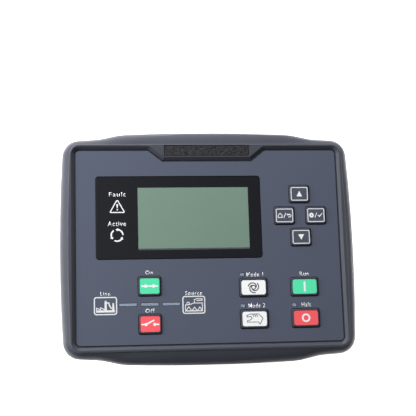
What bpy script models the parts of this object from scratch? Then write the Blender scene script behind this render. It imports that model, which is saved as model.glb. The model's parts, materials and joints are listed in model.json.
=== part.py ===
"""Panel-mounted controller for a generating set, lying on its back with its face up.

Units are metres. X runs across the face, Y up the face, Z out of the face. The origin is at the
centre of the rear face. Heights are counted down from the top of the front rim, at DEPTH.
"""

import math

import bmesh
import bpy

# Clearances between pieces that touch, and between moving pieces and their guides
GAP = 0.0003
KEY_CLEARANCE = 0.00035
HOLE_CLEARANCE = 0.0003

# Front frame, seen from the front
FRAME_WIDTH = 0.209
FRAME_HEIGHT = 0.166
DEPTH = 0.045
SIDE_BOW_RADIUS = 1.14
CROWN_RADIUS = 1.402
CHEEK_DROP = 0.0028
CHEEK_LENGTH = 0.0106
CHEEK_RAMP = 0.022
CORNER_INSET_X = 0.0139
CORNER_INSET_Y = 0.0178
CREASE_BOW_RADIUS = 1.5
FLANK_SIDE = 0.0055
FLANK_TOP = 0.0098
FLANK_DROP = 0.0078
FRAME_DEPTH = 0.0145
FRAME_WALL = 0.0018
RIM_STEP = 0.0009
RIM_ROUND = 0.0005

# Where the crease between rim and flank runs, and the stretches of the top edge
CREASE_WIDTH = FRAME_WIDTH - 2 * FLANK_SIDE
CREASE_HEIGHT = FRAME_HEIGHT - 2 * FLANK_TOP
CORNER_X = FRAME_WIDTH / 2 - CORNER_INSET_X
CORNER_Y = FRAME_HEIGHT / 2 - CORNER_INSET_Y
CHEEK_OUTER_X = CORNER_X - CHEEK_LENGTH
CHEEK_INNER_X = CHEEK_OUTER_X - CHEEK_RAMP

# The frame's section: how far out it stands, from crease to outer edge, and how far up each stretch
BACK_PROFILE = ((0.93, 0.0), (0.985, 0.5), (1.0, 1.0))
FLANK_PROFILE = ((0.955, 0.27), (0.84, 0.51), (0.62, 0.73), (0.35, 0.88), (0.10, 0.96), (0.0, 1.0))
GROOVE_INNER = 0.22
GROOVE_OUTER = 0.72

# Points round the frame: along a side, round a corner, and along the top's three kinds of stretch
SIDE_STEPS = 6
CORNER_STEPS = 6
CHEEK_STEPS = 2
RAMP_STEPS = 5
CROWN_STEPS = 8

# Face panel and its pocket in the frame
RIM_SIDE = 0.0057
RIM_TOP = 0.004575
PANEL_WIDTH = CREASE_WIDTH - 2 * RIM_SIDE
PANEL_HEIGHT = CREASE_HEIGHT - 2 * RIM_TOP
PANEL_CORNER = 0.0028
PANEL_THICKNESS = 0.0019
FACE_DROP = 0.0014
PANEL_EDGE_GAP = 0.0009
BEVEL_WIDTH = 0.0021
BEVEL_REACH = 1.2
BEVEL_DEPTH = 0.0017
NOTCH_RUN = 0.0098
NOTCH_ROUND = 0.002
WEB_THICKNESS = 0.002

# Bare name strip in the tab above the panel
INSERT_WIDTH = 0.0608
INSERT_HEIGHT = 0.00735
INSERT_THICKNESS = 0.0009
INSERT_SINK = 0.0004
INSERT_TOP_MARGIN = 0.0011
INSERT_CORNER = 0.0006
TAB_BORDER_LOW = 0.0003
TAB_BORDER_SIDE = 0.00042

# The panel's notch goes round the name strip, clear of the pocket's bevel
INSERT_LOW_Y = CREASE_HEIGHT / 2 - INSERT_TOP_MARGIN - INSERT_HEIGHT
TAB_REACH = GAP + PANEL_EDGE_GAP + BEVEL_REACH * BEVEL_WIDTH
TAB_LOW = TAB_REACH + TAB_BORDER_LOW
TAB_SIDE = TAB_REACH + TAB_BORDER_SIDE
NOTCH_DEPTH = PANEL_HEIGHT / 2 - INSERT_LOW_Y + TAB_LOW
NOTCH_SLOPE = math.atan2(NOTCH_DEPTH, NOTCH_RUN)
NOTCH_SPREAD = (TAB_SIDE - TAB_LOW * math.cos(NOTCH_SLOPE)) / math.sin(NOTCH_SLOPE)
NOTCH_BOTTOM_X = INSERT_WIDTH / 2 + NOTCH_SPREAD
NOTCH_TOP_X = NOTCH_BOTTOM_X + NOTCH_RUN

# Keys: size of the skirt at the panel, insets of the outer keys from the panel's edges, and spacings
NAV_KEY = (0.0144, 0.0128)
BREAKER_KEY = (0.0157, 0.0137)
MODE_KEY = (0.0195, 0.0132)
KEY_RISE = 0.0012
KEY_SLOPE = 0.0009
KEY_CORNER = 0.0016
KEY_LIP = 0.0008
KEY_LIP_THICKNESS = 0.001
KEY_STEM = 0.003
KEY_TRAVEL = 0.001
SWITCH_SIZE = 0.0062
SWITCH_HEIGHT = 0.0035
SWITCH_CLEARANCE = 0.0012
STEM_ENTRY = 0.0007
NAV_INSET_X = 0.0276
NAV_GAP_X = 0.0084
NAV_RIB = 0.0005
NAV_RISE = 0.00035
BREAKER_INSET_X = 0.05065
BREAKER_INSET_Y = 0.014175
BREAKER_PITCH = 0.0263
MODE_INSET_X = 0.02675
MODE_INSET_Y = 0.016325
MODE_PITCH_X = 0.0364
MODE_GAP_Y = 0.0088

# Centres of the keys; the web's openings are larger than the skirts by KEY_ROOM all round
KEY_ROOM = KEY_LIP + KEY_CLEARANCE
NAV_CENTRE_X = PANEL_WIDTH / 2 - NAV_INSET_X
NAV_SPREAD_X = (NAV_KEY[0] + NAV_GAP_X) / 2
NAV_SPREAD_Y = NAV_KEY[1] + 2 * KEY_ROOM + NAV_RIB
BREAKER_X = BREAKER_INSET_X - PANEL_WIDTH / 2
BREAKER_OPEN_Y = BREAKER_INSET_Y - PANEL_HEIGHT / 2
BREAKER_CLOSE_Y = BREAKER_OPEN_Y + BREAKER_PITCH
MODE_RIGHT_X = PANEL_WIDTH / 2 - MODE_INSET_X
MODE_LEFT_X = MODE_RIGHT_X - MODE_PITCH_X
MODE_LOWER_Y = MODE_INSET_Y - PANEL_HEIGHT / 2
MODE_UPPER_Y = MODE_LOWER_Y + MODE_KEY[1] + MODE_GAP_Y

# Light guides: small status windows above three keys, and the three bars of the mimic line
STATUS_LIGHT = (0.0027, 0.002)
STATUS_SHIFT = 0.00765
STATUS_RIB = 0.00025
BAR_LIGHT = (0.012, 0.0018)
BAR_GAP = 0.00305
BAR_RISE = 0.0005
LIGHT_SINK = 0.0001
LAMP_HEIGHT = 0.0012
STATUS_RISE = MODE_KEY[1] / 2 + KEY_ROOM + STATUS_RIB + GAP + STATUS_LIGHT[1] / 2
BAR_SPREAD_X = BAR_LIGHT[0] + BAR_GAP
BAR_Y = (BREAKER_CLOSE_Y + BREAKER_OPEN_Y) / 2 + BAR_RISE

# Screen window: its margins to the panel's edges and to the keys
WINDOW_LEFT_MARGIN = 0.0141
WINDOW_TOP_MARGIN = 0.018925
WINDOW_RIGHT_MARGIN = 0.0097
WINDOW_LOW_MARGIN = 0.0123
WINDOW_CORNER = 0.002
WINDOW_SINK = 0.0001
WINDOW_LEFT_X = WINDOW_LEFT_MARGIN - PANEL_WIDTH / 2
WINDOW_RIGHT_X = NAV_CENTRE_X - NAV_SPREAD_X - NAV_KEY[0] / 2 - WINDOW_RIGHT_MARGIN
WINDOW_TOP_Y = PANEL_HEIGHT / 2 - WINDOW_TOP_MARGIN
WINDOW_LOW_Y = BREAKER_CLOSE_Y + BREAKER_KEY[1] / 2 + WINDOW_LOW_MARGIN
WINDOW_WIDTH = WINDOW_RIGHT_X - WINDOW_LEFT_X
WINDOW_HEIGHT = WINDOW_TOP_Y - WINDOW_LOW_Y
WINDOW_X = (WINDOW_RIGHT_X + WINDOW_LEFT_X) / 2
WINDOW_Y = (WINDOW_TOP_Y + WINDOW_LOW_Y) / 2
NAV_CENTRE_Y = WINDOW_Y + NAV_RISE

# The display's view and its margins to the window's edges
VIEW_LEFT_MARGIN = 0.0293
VIEW_RIGHT_MARGIN = 0.0082
VIEW_TOP_MARGIN = 0.0075
VIEW_LOW_MARGIN = 0.0069
VIEW_WIDTH = WINDOW_WIDTH - VIEW_LEFT_MARGIN - VIEW_RIGHT_MARGIN
VIEW_HEIGHT = WINDOW_HEIGHT - VIEW_TOP_MARGIN - VIEW_LOW_MARGIN
VIEW_X = WINDOW_X + (VIEW_LEFT_MARGIN - VIEW_RIGHT_MARGIN) / 2
VIEW_Y = WINDOW_Y + (VIEW_LOW_MARGIN - VIEW_TOP_MARGIN) / 2
LCD_BORDER = 0.003
LCD_LIP = 0.0005
LCD_WALL = 0.0008
LCD_GLASS_THICKNESS = 0.0018

# Rear housing, which passes through the panel cut-out
FLANGE_SIDE = 0.0125
FLANGE_TOP = 0.0135
HOUSING_WIDTH = FRAME_WIDTH - 2 * FLANGE_SIDE
HOUSING_HEIGHT = FRAME_HEIGHT - 2 * FLANGE_TOP
HOUSING_CORNER = 0.006
HOUSING_WALL = 0.0022
HOUSING_DRAFT = 0.0006
STEP_BREADTH = 0.0235
STEP_CLEARANCE = 0.001
COLUMN_RADIUS = 0.0044
COLUMN_CLEARANCE = 0.0014
COLUMN_HEIGHT = 0.020
COUNTERBORE_RADIUS = 0.0035
COUNTERBORE_DEPTH = 0.012
CASE_HEAD_RADIUS = 0.0029
CASE_HEAD_HEIGHT = 0.0022
CASE_SHANK_LENGTH = 0.0193
POST_RADIUS = 0.003
POST_CLEARANCE = 0.0005
CLIP_SLOT_LENGTH = 0.012
CLIP_SLOT_HEIGHT = 0.005
CLIP_SLOT_Y = 0.036
CLIP_SLOT_DROP = 0.016
CASE_SCREW_X = HOUSING_WIDTH / 2 - HOUSING_WALL - COLUMN_CLEARANCE - COLUMN_RADIUS
CASE_SCREW_Y = HOUSING_HEIGHT / 2 - HOUSING_WALL - POST_CLEARANCE - POST_RADIUS
STEP_X = CASE_SCREW_X - COLUMN_RADIUS - COLUMN_CLEARANCE - HOUSING_WALL
STEP_Y = HOUSING_HEIGHT / 2 - STEP_BREADTH

# Circuit boards, spacers and screws
BOARD_THICKNESS = 0.0016
DISPLAY_BOARD_DROP = 0.0048
DISPLAY_BOARD_MARGIN_X = 0.0038
DISPLAY_BOARD_MARGIN_Y = 0.0011
BOARD_SPACING = 0.0094
POWER_BOARD_MARGIN_X = 0.0015
POWER_BOARD_MARGIN_Y = 0.0023
SPACER_INSET_X = 0.0055
SPACER_INSET_Y = 0.0058
SPACER_KEY_MARGIN = 0.002
SPACER_RADIUS = 0.003
STUD_RADIUS = 0.0015
BOSS_WALL = 0.0016
BOSS_ROOF = 0.0008
SPACER_HOLE_DEPTH = 0.005
SCREW_HEAD_RADIUS = 0.0028
SCREW_HEAD_HEIGHT = 0.0018
DISPLAY_BOARD = (
    HOUSING_WIDTH - 2 * (HOUSING_WALL + DISPLAY_BOARD_MARGIN_X),
    2 * (CASE_SCREW_Y - POST_RADIUS - DISPLAY_BOARD_MARGIN_Y),
)
POWER_BOARD = (
    2 * (CASE_SCREW_X - POST_RADIUS - POWER_BOARD_MARGIN_X),
    HOUSING_HEIGHT - 2 * (HOUSING_WALL + POWER_BOARD_MARGIN_Y),
)
BOSS_RADIUS = STUD_RADIUS + HOLE_CLEARANCE + BOSS_WALL
SPACER_LEFT_X = SPACER_INSET_X - POWER_BOARD[0] / 2
SPACER_UPPER_X = WINDOW_RIGHT_X + WINDOW_RIGHT_MARGIN - KEY_ROOM - SPACER_KEY_MARGIN - BOSS_RADIUS
SPACER_LOWER_X = (MODE_LEFT_X + MODE_RIGHT_X) / 2
SPACER_Y = STEP_Y - HOUSING_WALL - SPACER_INSET_Y

# Gasket behind the flange
GASKET_THICKNESS = 0.0013
GASKET_SIDE = 0.0054
GASKET_TOP = 0.0034

# Plug-in terminal blocks: ways in each block, from left to right
UPPER_TERMINALS = (("a", 12), ("b", 8))
LOWER_TERMINALS = (("c", 14), ("d", 6))
TERMINAL_PITCH = 0.00508
TERMINAL_SPACING = 0.0062
TERMINAL_INSET = 0.0115
TERMINAL_ROW_Y = HOUSING_HEIGHT / 2 - TERMINAL_INSET
HEADER_DEPTH = 0.0086
HEADER_WALL = 0.0009
HEADER_BASE = 0.0018
PLUG_REAR_Z = 0.0008
PLUG_SHARE = 0.48
PLUG_INSIDE = 0.005
PLUG_OUTSIDE = 0.009
PLUG_CHAMFER = 0.0015
WIRE_HOLE = 0.0032
WIRE_HOLE_DEPTH = 0.0065
WIRE_HOLE_INSET = 0.0024
TERMINAL_SCREW_RADIUS = 0.0017
TERMINAL_SCREW_SINK = 0.0024

# Parts on the power board: insets from its ends, and clearances behind them to the rear wall
PORT_WIDTH = 0.0121
PORT_HEIGHT = 0.0110
PORT_INSET = 0.0175
PORT_Y = -0.018
PORT_WALL = 0.0014
PORT_BASE = 0.004
PORT_SINK = 0.0003
PORT_TONGUE = (0.0056, 0.0028)
PORT_CHAMFER = 0.0018
RELAY = (0.0190, 0.0155)
RELAY_REAR_GAP = 0.0041
RELAY_INSET = 0.0195
RELAY_STEP_GAP = 0.010
RELAY_PITCH = 0.0225
RELAY_COUNT = 4
CAPACITOR_RADIUS = 0.005
CAPACITOR_REAR_GAP = 0.007
CAPACITOR_INSET = 0.0355
CAPACITOR_Y = 0.004
CAPACITOR_SPREAD = 0.0125
TRANSFORMER = (0.024, 0.019)
TRANSFORMER_REAR_GAP = 0.005
TRANSFORMER_INSET = 0.0315
TRANSFORMER_Y = -0.014
LINK_SIZE = (0.0254, 0.005)
LINK_X = -0.010
LINK_Y = -0.030
CELL_RADIUS = 0.0105
CELL_HEIGHT = 0.0042
CELL_X = 0.010
CELL_Y = 0.018
PORT_X = POWER_BOARD[0] / 2 - PORT_INSET
RELAY_START_X = RELAY_INSET - POWER_BOARD[0] / 2
RELAY_Y = STEP_Y - HOUSING_WALL - RELAY_STEP_GAP - RELAY[1] / 2
CAPACITOR_X = POWER_BOARD[0] / 2 - CAPACITOR_INSET
TRANSFORMER_X = TRANSFORMER_INSET - POWER_BOARD[0] / 2

# Heights above the rear face
FACE_Z = DEPTH - FACE_DROP
PANEL_BACK_Z = FACE_Z - PANEL_THICKNESS
WEB_TOP_Z = PANEL_BACK_Z - GAP
WEB_BACK_Z = WEB_TOP_Z - WEB_THICKNESS
FRAME_BACK_Z = DEPTH - FRAME_DEPTH
HOUSING_FRONT_Z = FRAME_BACK_Z - GAP
DISPLAY_FRONT_Z = WEB_BACK_Z - DISPLAY_BOARD_DROP
DISPLAY_BACK_Z = DISPLAY_FRONT_Z - BOARD_THICKNESS
POWER_FRONT_Z = DISPLAY_BACK_Z - BOARD_SPACING
POWER_BACK_Z = POWER_FRONT_Z - BOARD_THICKNESS
PART_SEAT_Z = POWER_BACK_Z - GAP
STEP_INNER_Z = POWER_BACK_Z - STEP_CLEARANCE
STEP_OUTER_Z = STEP_INNER_Z - HOUSING_WALL
SWITCH_TOP_Z = DISPLAY_FRONT_Z + SWITCH_HEIGHT
STEM_END_Z = SWITCH_TOP_Z - STEM_ENTRY
SWITCH_FLOOR_Z = STEM_END_Z - KEY_TRAVEL - SWITCH_CLEARANCE
LAMP_TOP_Z = DISPLAY_FRONT_Z + LAMP_HEIGHT
CLIP_SLOT_Z = FRAME_BACK_Z - CLIP_SLOT_DROP

# Each plug and its header share the depth behind the power board
PLUG_FRONT_Z = PLUG_REAR_Z + PLUG_SHARE * (PART_SEAT_Z - PLUG_REAR_Z - GAP)
HEADER_MOUTH_Z = PLUG_FRONT_Z + GAP

# A cutter runs this far past the face that it opens, and joined shapes lap by this much
OVERRUN = 0.001
LAP = 0.0006
SMOOTH_ANGLE = math.radians(32)

KEYS = (
    ("key_up", NAV_KEY, NAV_CENTRE_X, NAV_CENTRE_Y + NAV_SPREAD_Y, "key_dark"),
    ("key_down", NAV_KEY, NAV_CENTRE_X, NAV_CENTRE_Y - NAV_SPREAD_Y, "key_dark"),
    ("key_home", NAV_KEY, NAV_CENTRE_X - NAV_SPREAD_X, NAV_CENTRE_Y, "key_dark"),
    ("key_set", NAV_KEY, NAV_CENTRE_X + NAV_SPREAD_X, NAV_CENTRE_Y, "key_dark"),
    ("key_close", BREAKER_KEY, BREAKER_X, BREAKER_CLOSE_Y, "key_green"),
    ("key_open", BREAKER_KEY, BREAKER_X, BREAKER_OPEN_Y, "key_red"),
    ("key_auto", MODE_KEY, MODE_LEFT_X, MODE_UPPER_Y, "key_white"),
    ("key_manual", MODE_KEY, MODE_LEFT_X, MODE_LOWER_Y, "key_white"),
    ("key_start", MODE_KEY, MODE_RIGHT_X, MODE_UPPER_Y, "key_green"),
    ("key_stop", MODE_KEY, MODE_RIGHT_X, MODE_LOWER_Y, "key_red"),
)

LIGHTS = (
    ("light_auto", STATUS_LIGHT, MODE_LEFT_X - STATUS_SHIFT, MODE_UPPER_Y + STATUS_RISE),
    ("light_manual", STATUS_LIGHT, MODE_LEFT_X - STATUS_SHIFT, MODE_LOWER_Y + STATUS_RISE),
    ("light_stop", STATUS_LIGHT, MODE_RIGHT_X - STATUS_SHIFT, MODE_LOWER_Y + STATUS_RISE),
    ("light_bar_left", BAR_LIGHT, BREAKER_X - BAR_SPREAD_X, BAR_Y),
    ("light_bar_middle", BAR_LIGHT, BREAKER_X, BAR_Y),
    ("light_bar_right", BAR_LIGHT, BREAKER_X + BAR_SPREAD_X, BAR_Y),
)

SPACERS = (
    (SPACER_LEFT_X, -SPACER_Y),
    (SPACER_LEFT_X, SPACER_Y),
    (SPACER_LOWER_X, -SPACER_Y),
    (SPACER_UPPER_X, SPACER_Y),
)
CASE_SCREWS = [(x, y) for x in (-CASE_SCREW_X, CASE_SCREW_X) for y in (-CASE_SCREW_Y, CASE_SCREW_Y)]

# Colour, roughness and metallic value of each material
FINISHES = {
    "frame_plastic": ((0.085, 0.088, 0.100), 0.38, 0.0),
    "panel_film": ((0.125, 0.140, 0.180), 0.45, 0.0),
    "name_film": ((0.020, 0.021, 0.024), 0.55, 0.0),
    "window_lens": ((0.020, 0.021, 0.026), 0.12, 0.0),
    "key_dark": ((0.060, 0.068, 0.090), 0.50, 0.0),
    "key_green": ((0.120, 0.730, 0.420), 0.50, 0.0),
    "key_red": ((0.950, 0.130, 0.150), 0.50, 0.0),
    "key_white": ((0.880, 0.900, 0.910), 0.50, 0.0),
    "lcd_metal": ((0.600, 0.600, 0.620), 0.35, 1.0),
    "lcd_glass": ((0.195, 0.275, 0.220), 0.25, 0.0),
    "backlight": ((0.850, 0.870, 0.850), 0.50, 0.0),
    "light_guide": ((0.230, 0.270, 0.350), 0.30, 0.0),
    "circuit_board": ((0.020, 0.160, 0.070), 0.40, 0.0),
    "housing_plastic": ((0.030, 0.031, 0.034), 0.50, 0.0),
    "gasket_foam": ((0.015, 0.015, 0.016), 0.90, 0.0),
    "zinc_steel": ((0.620, 0.620, 0.640), 0.32, 1.0),
    "terminal_green": ((0.020, 0.330, 0.120), 0.45, 0.0),
    "port_shell": ((0.700, 0.700, 0.710), 0.25, 1.0),
    "relay_case": ((0.030, 0.060, 0.200), 0.40, 0.0),
    "capacitor_sleeve": ((0.020, 0.020, 0.030), 0.35, 0.0),
    "transformer_tape": ((0.700, 0.550, 0.100), 0.50, 0.0),
    "connector_black": ((0.020, 0.020, 0.020), 0.50, 0.0),
}


def clear_scene():
    for obj in list(bpy.data.objects):
        bpy.data.objects.remove(obj, do_unlink=True)


def finish(name):
    """The material of that name, made on its first use."""
    material = bpy.data.materials.get(name)
    if material is None:
        colour, roughness, metallic = FINISHES[name]
        material = bpy.data.materials.new(name)
        material.use_nodes = True
        shader = material.node_tree.nodes["Principled BSDF"]
        shader.inputs["Base Color"].default_value = (*colour, 1.0)
        shader.inputs["Roughness"].default_value = roughness
        shader.inputs["Metallic"].default_value = metallic
        material.diffuse_color = (*colour, 1.0)
    return material


# Outlines are lists of (x, y) points, counter-clockwise


def rounded_rectangle(width, height, radius, steps=3, centre=(0.0, 0.0)):
    points = []
    corners = ((1, -1, -90), (1, 1, 0), (-1, 1, 90), (-1, -1, 180))
    for sign_x, sign_y, start in corners:
        corner_x = centre[0] + sign_x * (width / 2 - radius)
        corner_y = centre[1] + sign_y * (height / 2 - radius)
        for step in range(steps + 1):
            angle = math.radians(start + 90 * step / steps)
            points.append((corner_x + radius * math.cos(angle), corner_y + radius * math.sin(angle)))
    return points


def rectangle(width, height, centre=(0.0, 0.0)):
    half_w, half_h = width / 2, height / 2
    x, y = centre
    right, left, top, bottom = x + half_w, x - half_w, y + half_h, y - half_h
    return [(right, bottom), (right, top), (left, top), (left, bottom)]


def circle(radius, steps=12, centre=(0.0, 0.0)):
    turns = [2 * math.pi * step / steps for step in range(steps)]
    return [(centre[0] + radius * math.cos(turn), centre[1] + radius * math.sin(turn)) for turn in turns]


def offset(outline, distance):
    """The outline moved outwards by a distance, with mitred corners and as many points."""
    moved = []
    for index, (x, y) in enumerate(outline):
        before = outline[index - 1]
        after = outline[(index + 1) % len(outline)]
        first = (y - before[1], before[0] - x)
        second = (after[1] - y, x - after[0])
        first_length, second_length = math.hypot(*first), math.hypot(*second)
        normal_x = first[0] / first_length + second[0] / second_length
        normal_y = first[1] / first_length + second[1] / second_length
        scale = 2 * distance / (normal_x**2 + normal_y**2)
        moved.append((x + normal_x * scale, y + normal_y * scale))
    return moved


# Solids are added to a bmesh from rings, which are outlines at a height


def ring(outline, z):
    return [(x, y, z) for x, y in outline]


def add_sides(mesh, rings, closed):
    levels = [[mesh.verts.new(point) for point in points] for points in rings]
    pairs = list(zip(levels, levels[1:]))
    if closed:
        pairs.append((levels[-1], levels[0]))
    for lower, upper in pairs:
        for index in range(len(lower)):
            after = (index + 1) % len(lower)
            mesh.faces.new((lower[index], lower[after], upper[after], upper[index]))
    return levels


def add_loft(mesh, rings):
    """A solid through rings of equally many points, capped at both ends."""
    levels = add_sides(mesh, rings, closed=False)
    mesh.faces.new(list(reversed(levels[0])))
    mesh.faces.new(levels[-1])


def add_frame(mesh, rings):
    """A solid round a hole: the rings run round its section and back to the first."""
    add_sides(mesh, rings, closed=True)


def add_prism(mesh, outline, low, high):
    add_loft(mesh, [ring(outline, low), ring(outline, high)])


def add_box(mesh, low, high):
    centre = ((low[0] + high[0]) / 2, (low[1] + high[1]) / 2)
    add_prism(mesh, rectangle(high[0] - low[0], high[1] - low[1], centre), low[2], high[2])


def make_object(name, mesh, material=None, location=(0.0, 0.0, 0.0)):
    bmesh.ops.recalc_face_normals(mesh, faces=mesh.faces)
    data = bpy.data.meshes.new(name)
    mesh.to_mesh(data)
    mesh.free()
    obj = bpy.data.objects.new(name, data)
    obj.location = location
    bpy.context.scene.collection.objects.link(obj)
    if material:
        data.materials.append(finish(material))
    return obj


def combine(obj, mesh, operation):
    """Joins to the object, or cuts from it, the solids in a bmesh."""
    tool = make_object(obj.name + "_tool", mesh, location=obj.location)
    modifier = obj.modifiers.new(operation.lower(), "BOOLEAN")
    modifier.object = tool
    modifier.operation = operation
    modifier.solver = "EXACT"
    bpy.context.view_layer.objects.active = obj
    bpy.ops.object.modifier_apply(modifier=modifier.name)
    data = tool.data
    bpy.data.objects.remove(tool)
    bpy.data.meshes.remove(data)


def shade(obj, angle=SMOOTH_ANGLE):
    obj.data.shade_smooth()
    obj.data.set_sharp_from_angle(angle=angle)


def solid(name, rings, material, location=(0.0, 0.0, 0.0)):
    """A named piece that is one loft."""
    mesh = bmesh.new()
    add_loft(mesh, rings)
    obj = make_object(name, mesh, material, location)
    shade(obj)
    return obj


# Front frame


def bowed(half_width, bow_radius, y):
    """How far the bowed side stands from the centre line at a height on the face."""
    return half_width - y * y / (2 * bow_radius)


def crowned(x):
    """The frame's top edge: a long crown, dropping over an S-shaped ramp to the cheeks beside the corners."""
    ramp = (abs(x) - CHEEK_INNER_X) / (CHEEK_OUTER_X - CHEEK_INNER_X)
    ramp = min(max(ramp, 0.0), 1.0)
    drop = CHEEK_DROP * ramp * ramp * (3 - 2 * ramp)
    return FRAME_HEIGHT / 2 - x * x / (2 * CROWN_RADIUS) - drop


def quarter_stations(inset):
    """Points of the crease and of the outer edge, from the right side's middle to the top's middle."""
    crease_x = CREASE_WIDTH / 2 - inset
    crease_y = CREASE_HEIGHT / 2 - inset
    pairs = []
    for step in range(SIDE_STEPS // 2):
        y = CORNER_Y * step / (SIDE_STEPS // 2)
        crease = (bowed(crease_x, CREASE_BOW_RADIUS, y), y)
        edge = (bowed(FRAME_WIDTH / 2, SIDE_BOW_RADIUS, y), y)
        pairs.append((crease, edge))
    crease_radii = (bowed(crease_x, CREASE_BOW_RADIUS, CORNER_Y) - CORNER_X, crease_y - CORNER_Y)
    edge_radii = (bowed(FRAME_WIDTH / 2, SIDE_BOW_RADIUS, CORNER_Y) - CORNER_X, crowned(CORNER_X) - CORNER_Y)
    for step in range(CORNER_STEPS + 1):
        angle = math.pi / 2 * step / CORNER_STEPS
        across, up = math.cos(angle), math.sin(angle)
        crease = (CORNER_X + crease_radii[0] * across, CORNER_Y + crease_radii[1] * up)
        edge = (CORNER_X + edge_radii[0] * across, CORNER_Y + edge_radii[1] * up)
        pairs.append((crease, edge))
    stretches = (
        (CORNER_X, CHEEK_OUTER_X, CHEEK_STEPS),
        (CHEEK_OUTER_X, CHEEK_INNER_X, RAMP_STEPS),
        (CHEEK_INNER_X, 0.0, CROWN_STEPS // 2),
    )
    for start, end, steps in stretches:
        for step in range(1, steps + 1):
            x = start + (end - start) * step / steps
            pairs.append(((x, crease_y), (x, crowned(x))))
    return pairs


def frame_outline(share, inset=0.0):
    """The frame's outline at a share of the way from its crease, at 0, to its outer edge, at 1."""
    quarter = []
    for (crease_x, crease_y), (edge_x, edge_y) in quarter_stations(inset):
        quarter.append((crease_x + share * (edge_x - crease_x), crease_y + share * (edge_y - crease_y)))
    upper_left = [(-x, y) for x, y in reversed(quarter[:-1])]
    upper = quarter + upper_left
    lower = [(x, -y) for x, y in reversed(upper[1:-1])]
    return upper + lower


def panel_outline():
    """The face panel: a rounded rectangle with a notch in its top edge for the frame's tab."""
    top_y = PANEL_HEIGHT / 2
    body = rounded_rectangle(PANEL_WIDTH, PANEL_HEIGHT, PANEL_CORNER, 4)
    upper_right = len(body) // 2
    half_slope = NOTCH_SLOPE / 2
    cut = NOTCH_ROUND * math.tan(half_slope)
    start_x = NOTCH_TOP_X + cut
    shoulder = [
        (start_x, top_y),
        (start_x - NOTCH_ROUND * math.sin(half_slope), top_y - NOTCH_ROUND * (1 - math.cos(half_slope))),
        (NOTCH_TOP_X - cut * math.cos(NOTCH_SLOPE), top_y - cut * math.sin(NOTCH_SLOPE)),
    ]
    floor = [(NOTCH_BOTTOM_X, top_y - NOTCH_DEPTH), (-NOTCH_BOTTOM_X, top_y - NOTCH_DEPTH)]
    mirrored = [(-x, y) for x, y in reversed(shoulder)]
    return body[:upper_right] + shoulder + floor + mirrored + body[upper_right:]


def pocket_rings():
    """The pocket for the panel: a straight wall, then a bevel that rounds over into the rim."""
    outline = panel_outline()
    wall = offset(outline, PANEL_EDGE_GAP)
    lower_bevel = offset(outline, PANEL_EDGE_GAP + BEVEL_WIDTH * 0.72)
    upper_bevel = offset(outline, PANEL_EDGE_GAP + BEVEL_WIDTH * 1.04)
    beyond = offset(outline, PANEL_EDGE_GAP + BEVEL_WIDTH * BEVEL_REACH)
    return [
        ring(wall, WEB_TOP_Z),
        ring(wall, DEPTH - BEVEL_DEPTH),
        ring(lower_bevel, DEPTH - BEVEL_DEPTH * 0.25),
        ring(upper_bevel, DEPTH + BEVEL_DEPTH * 0.05),
        ring(beyond, DEPTH + OVERRUN),
    ]


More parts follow.
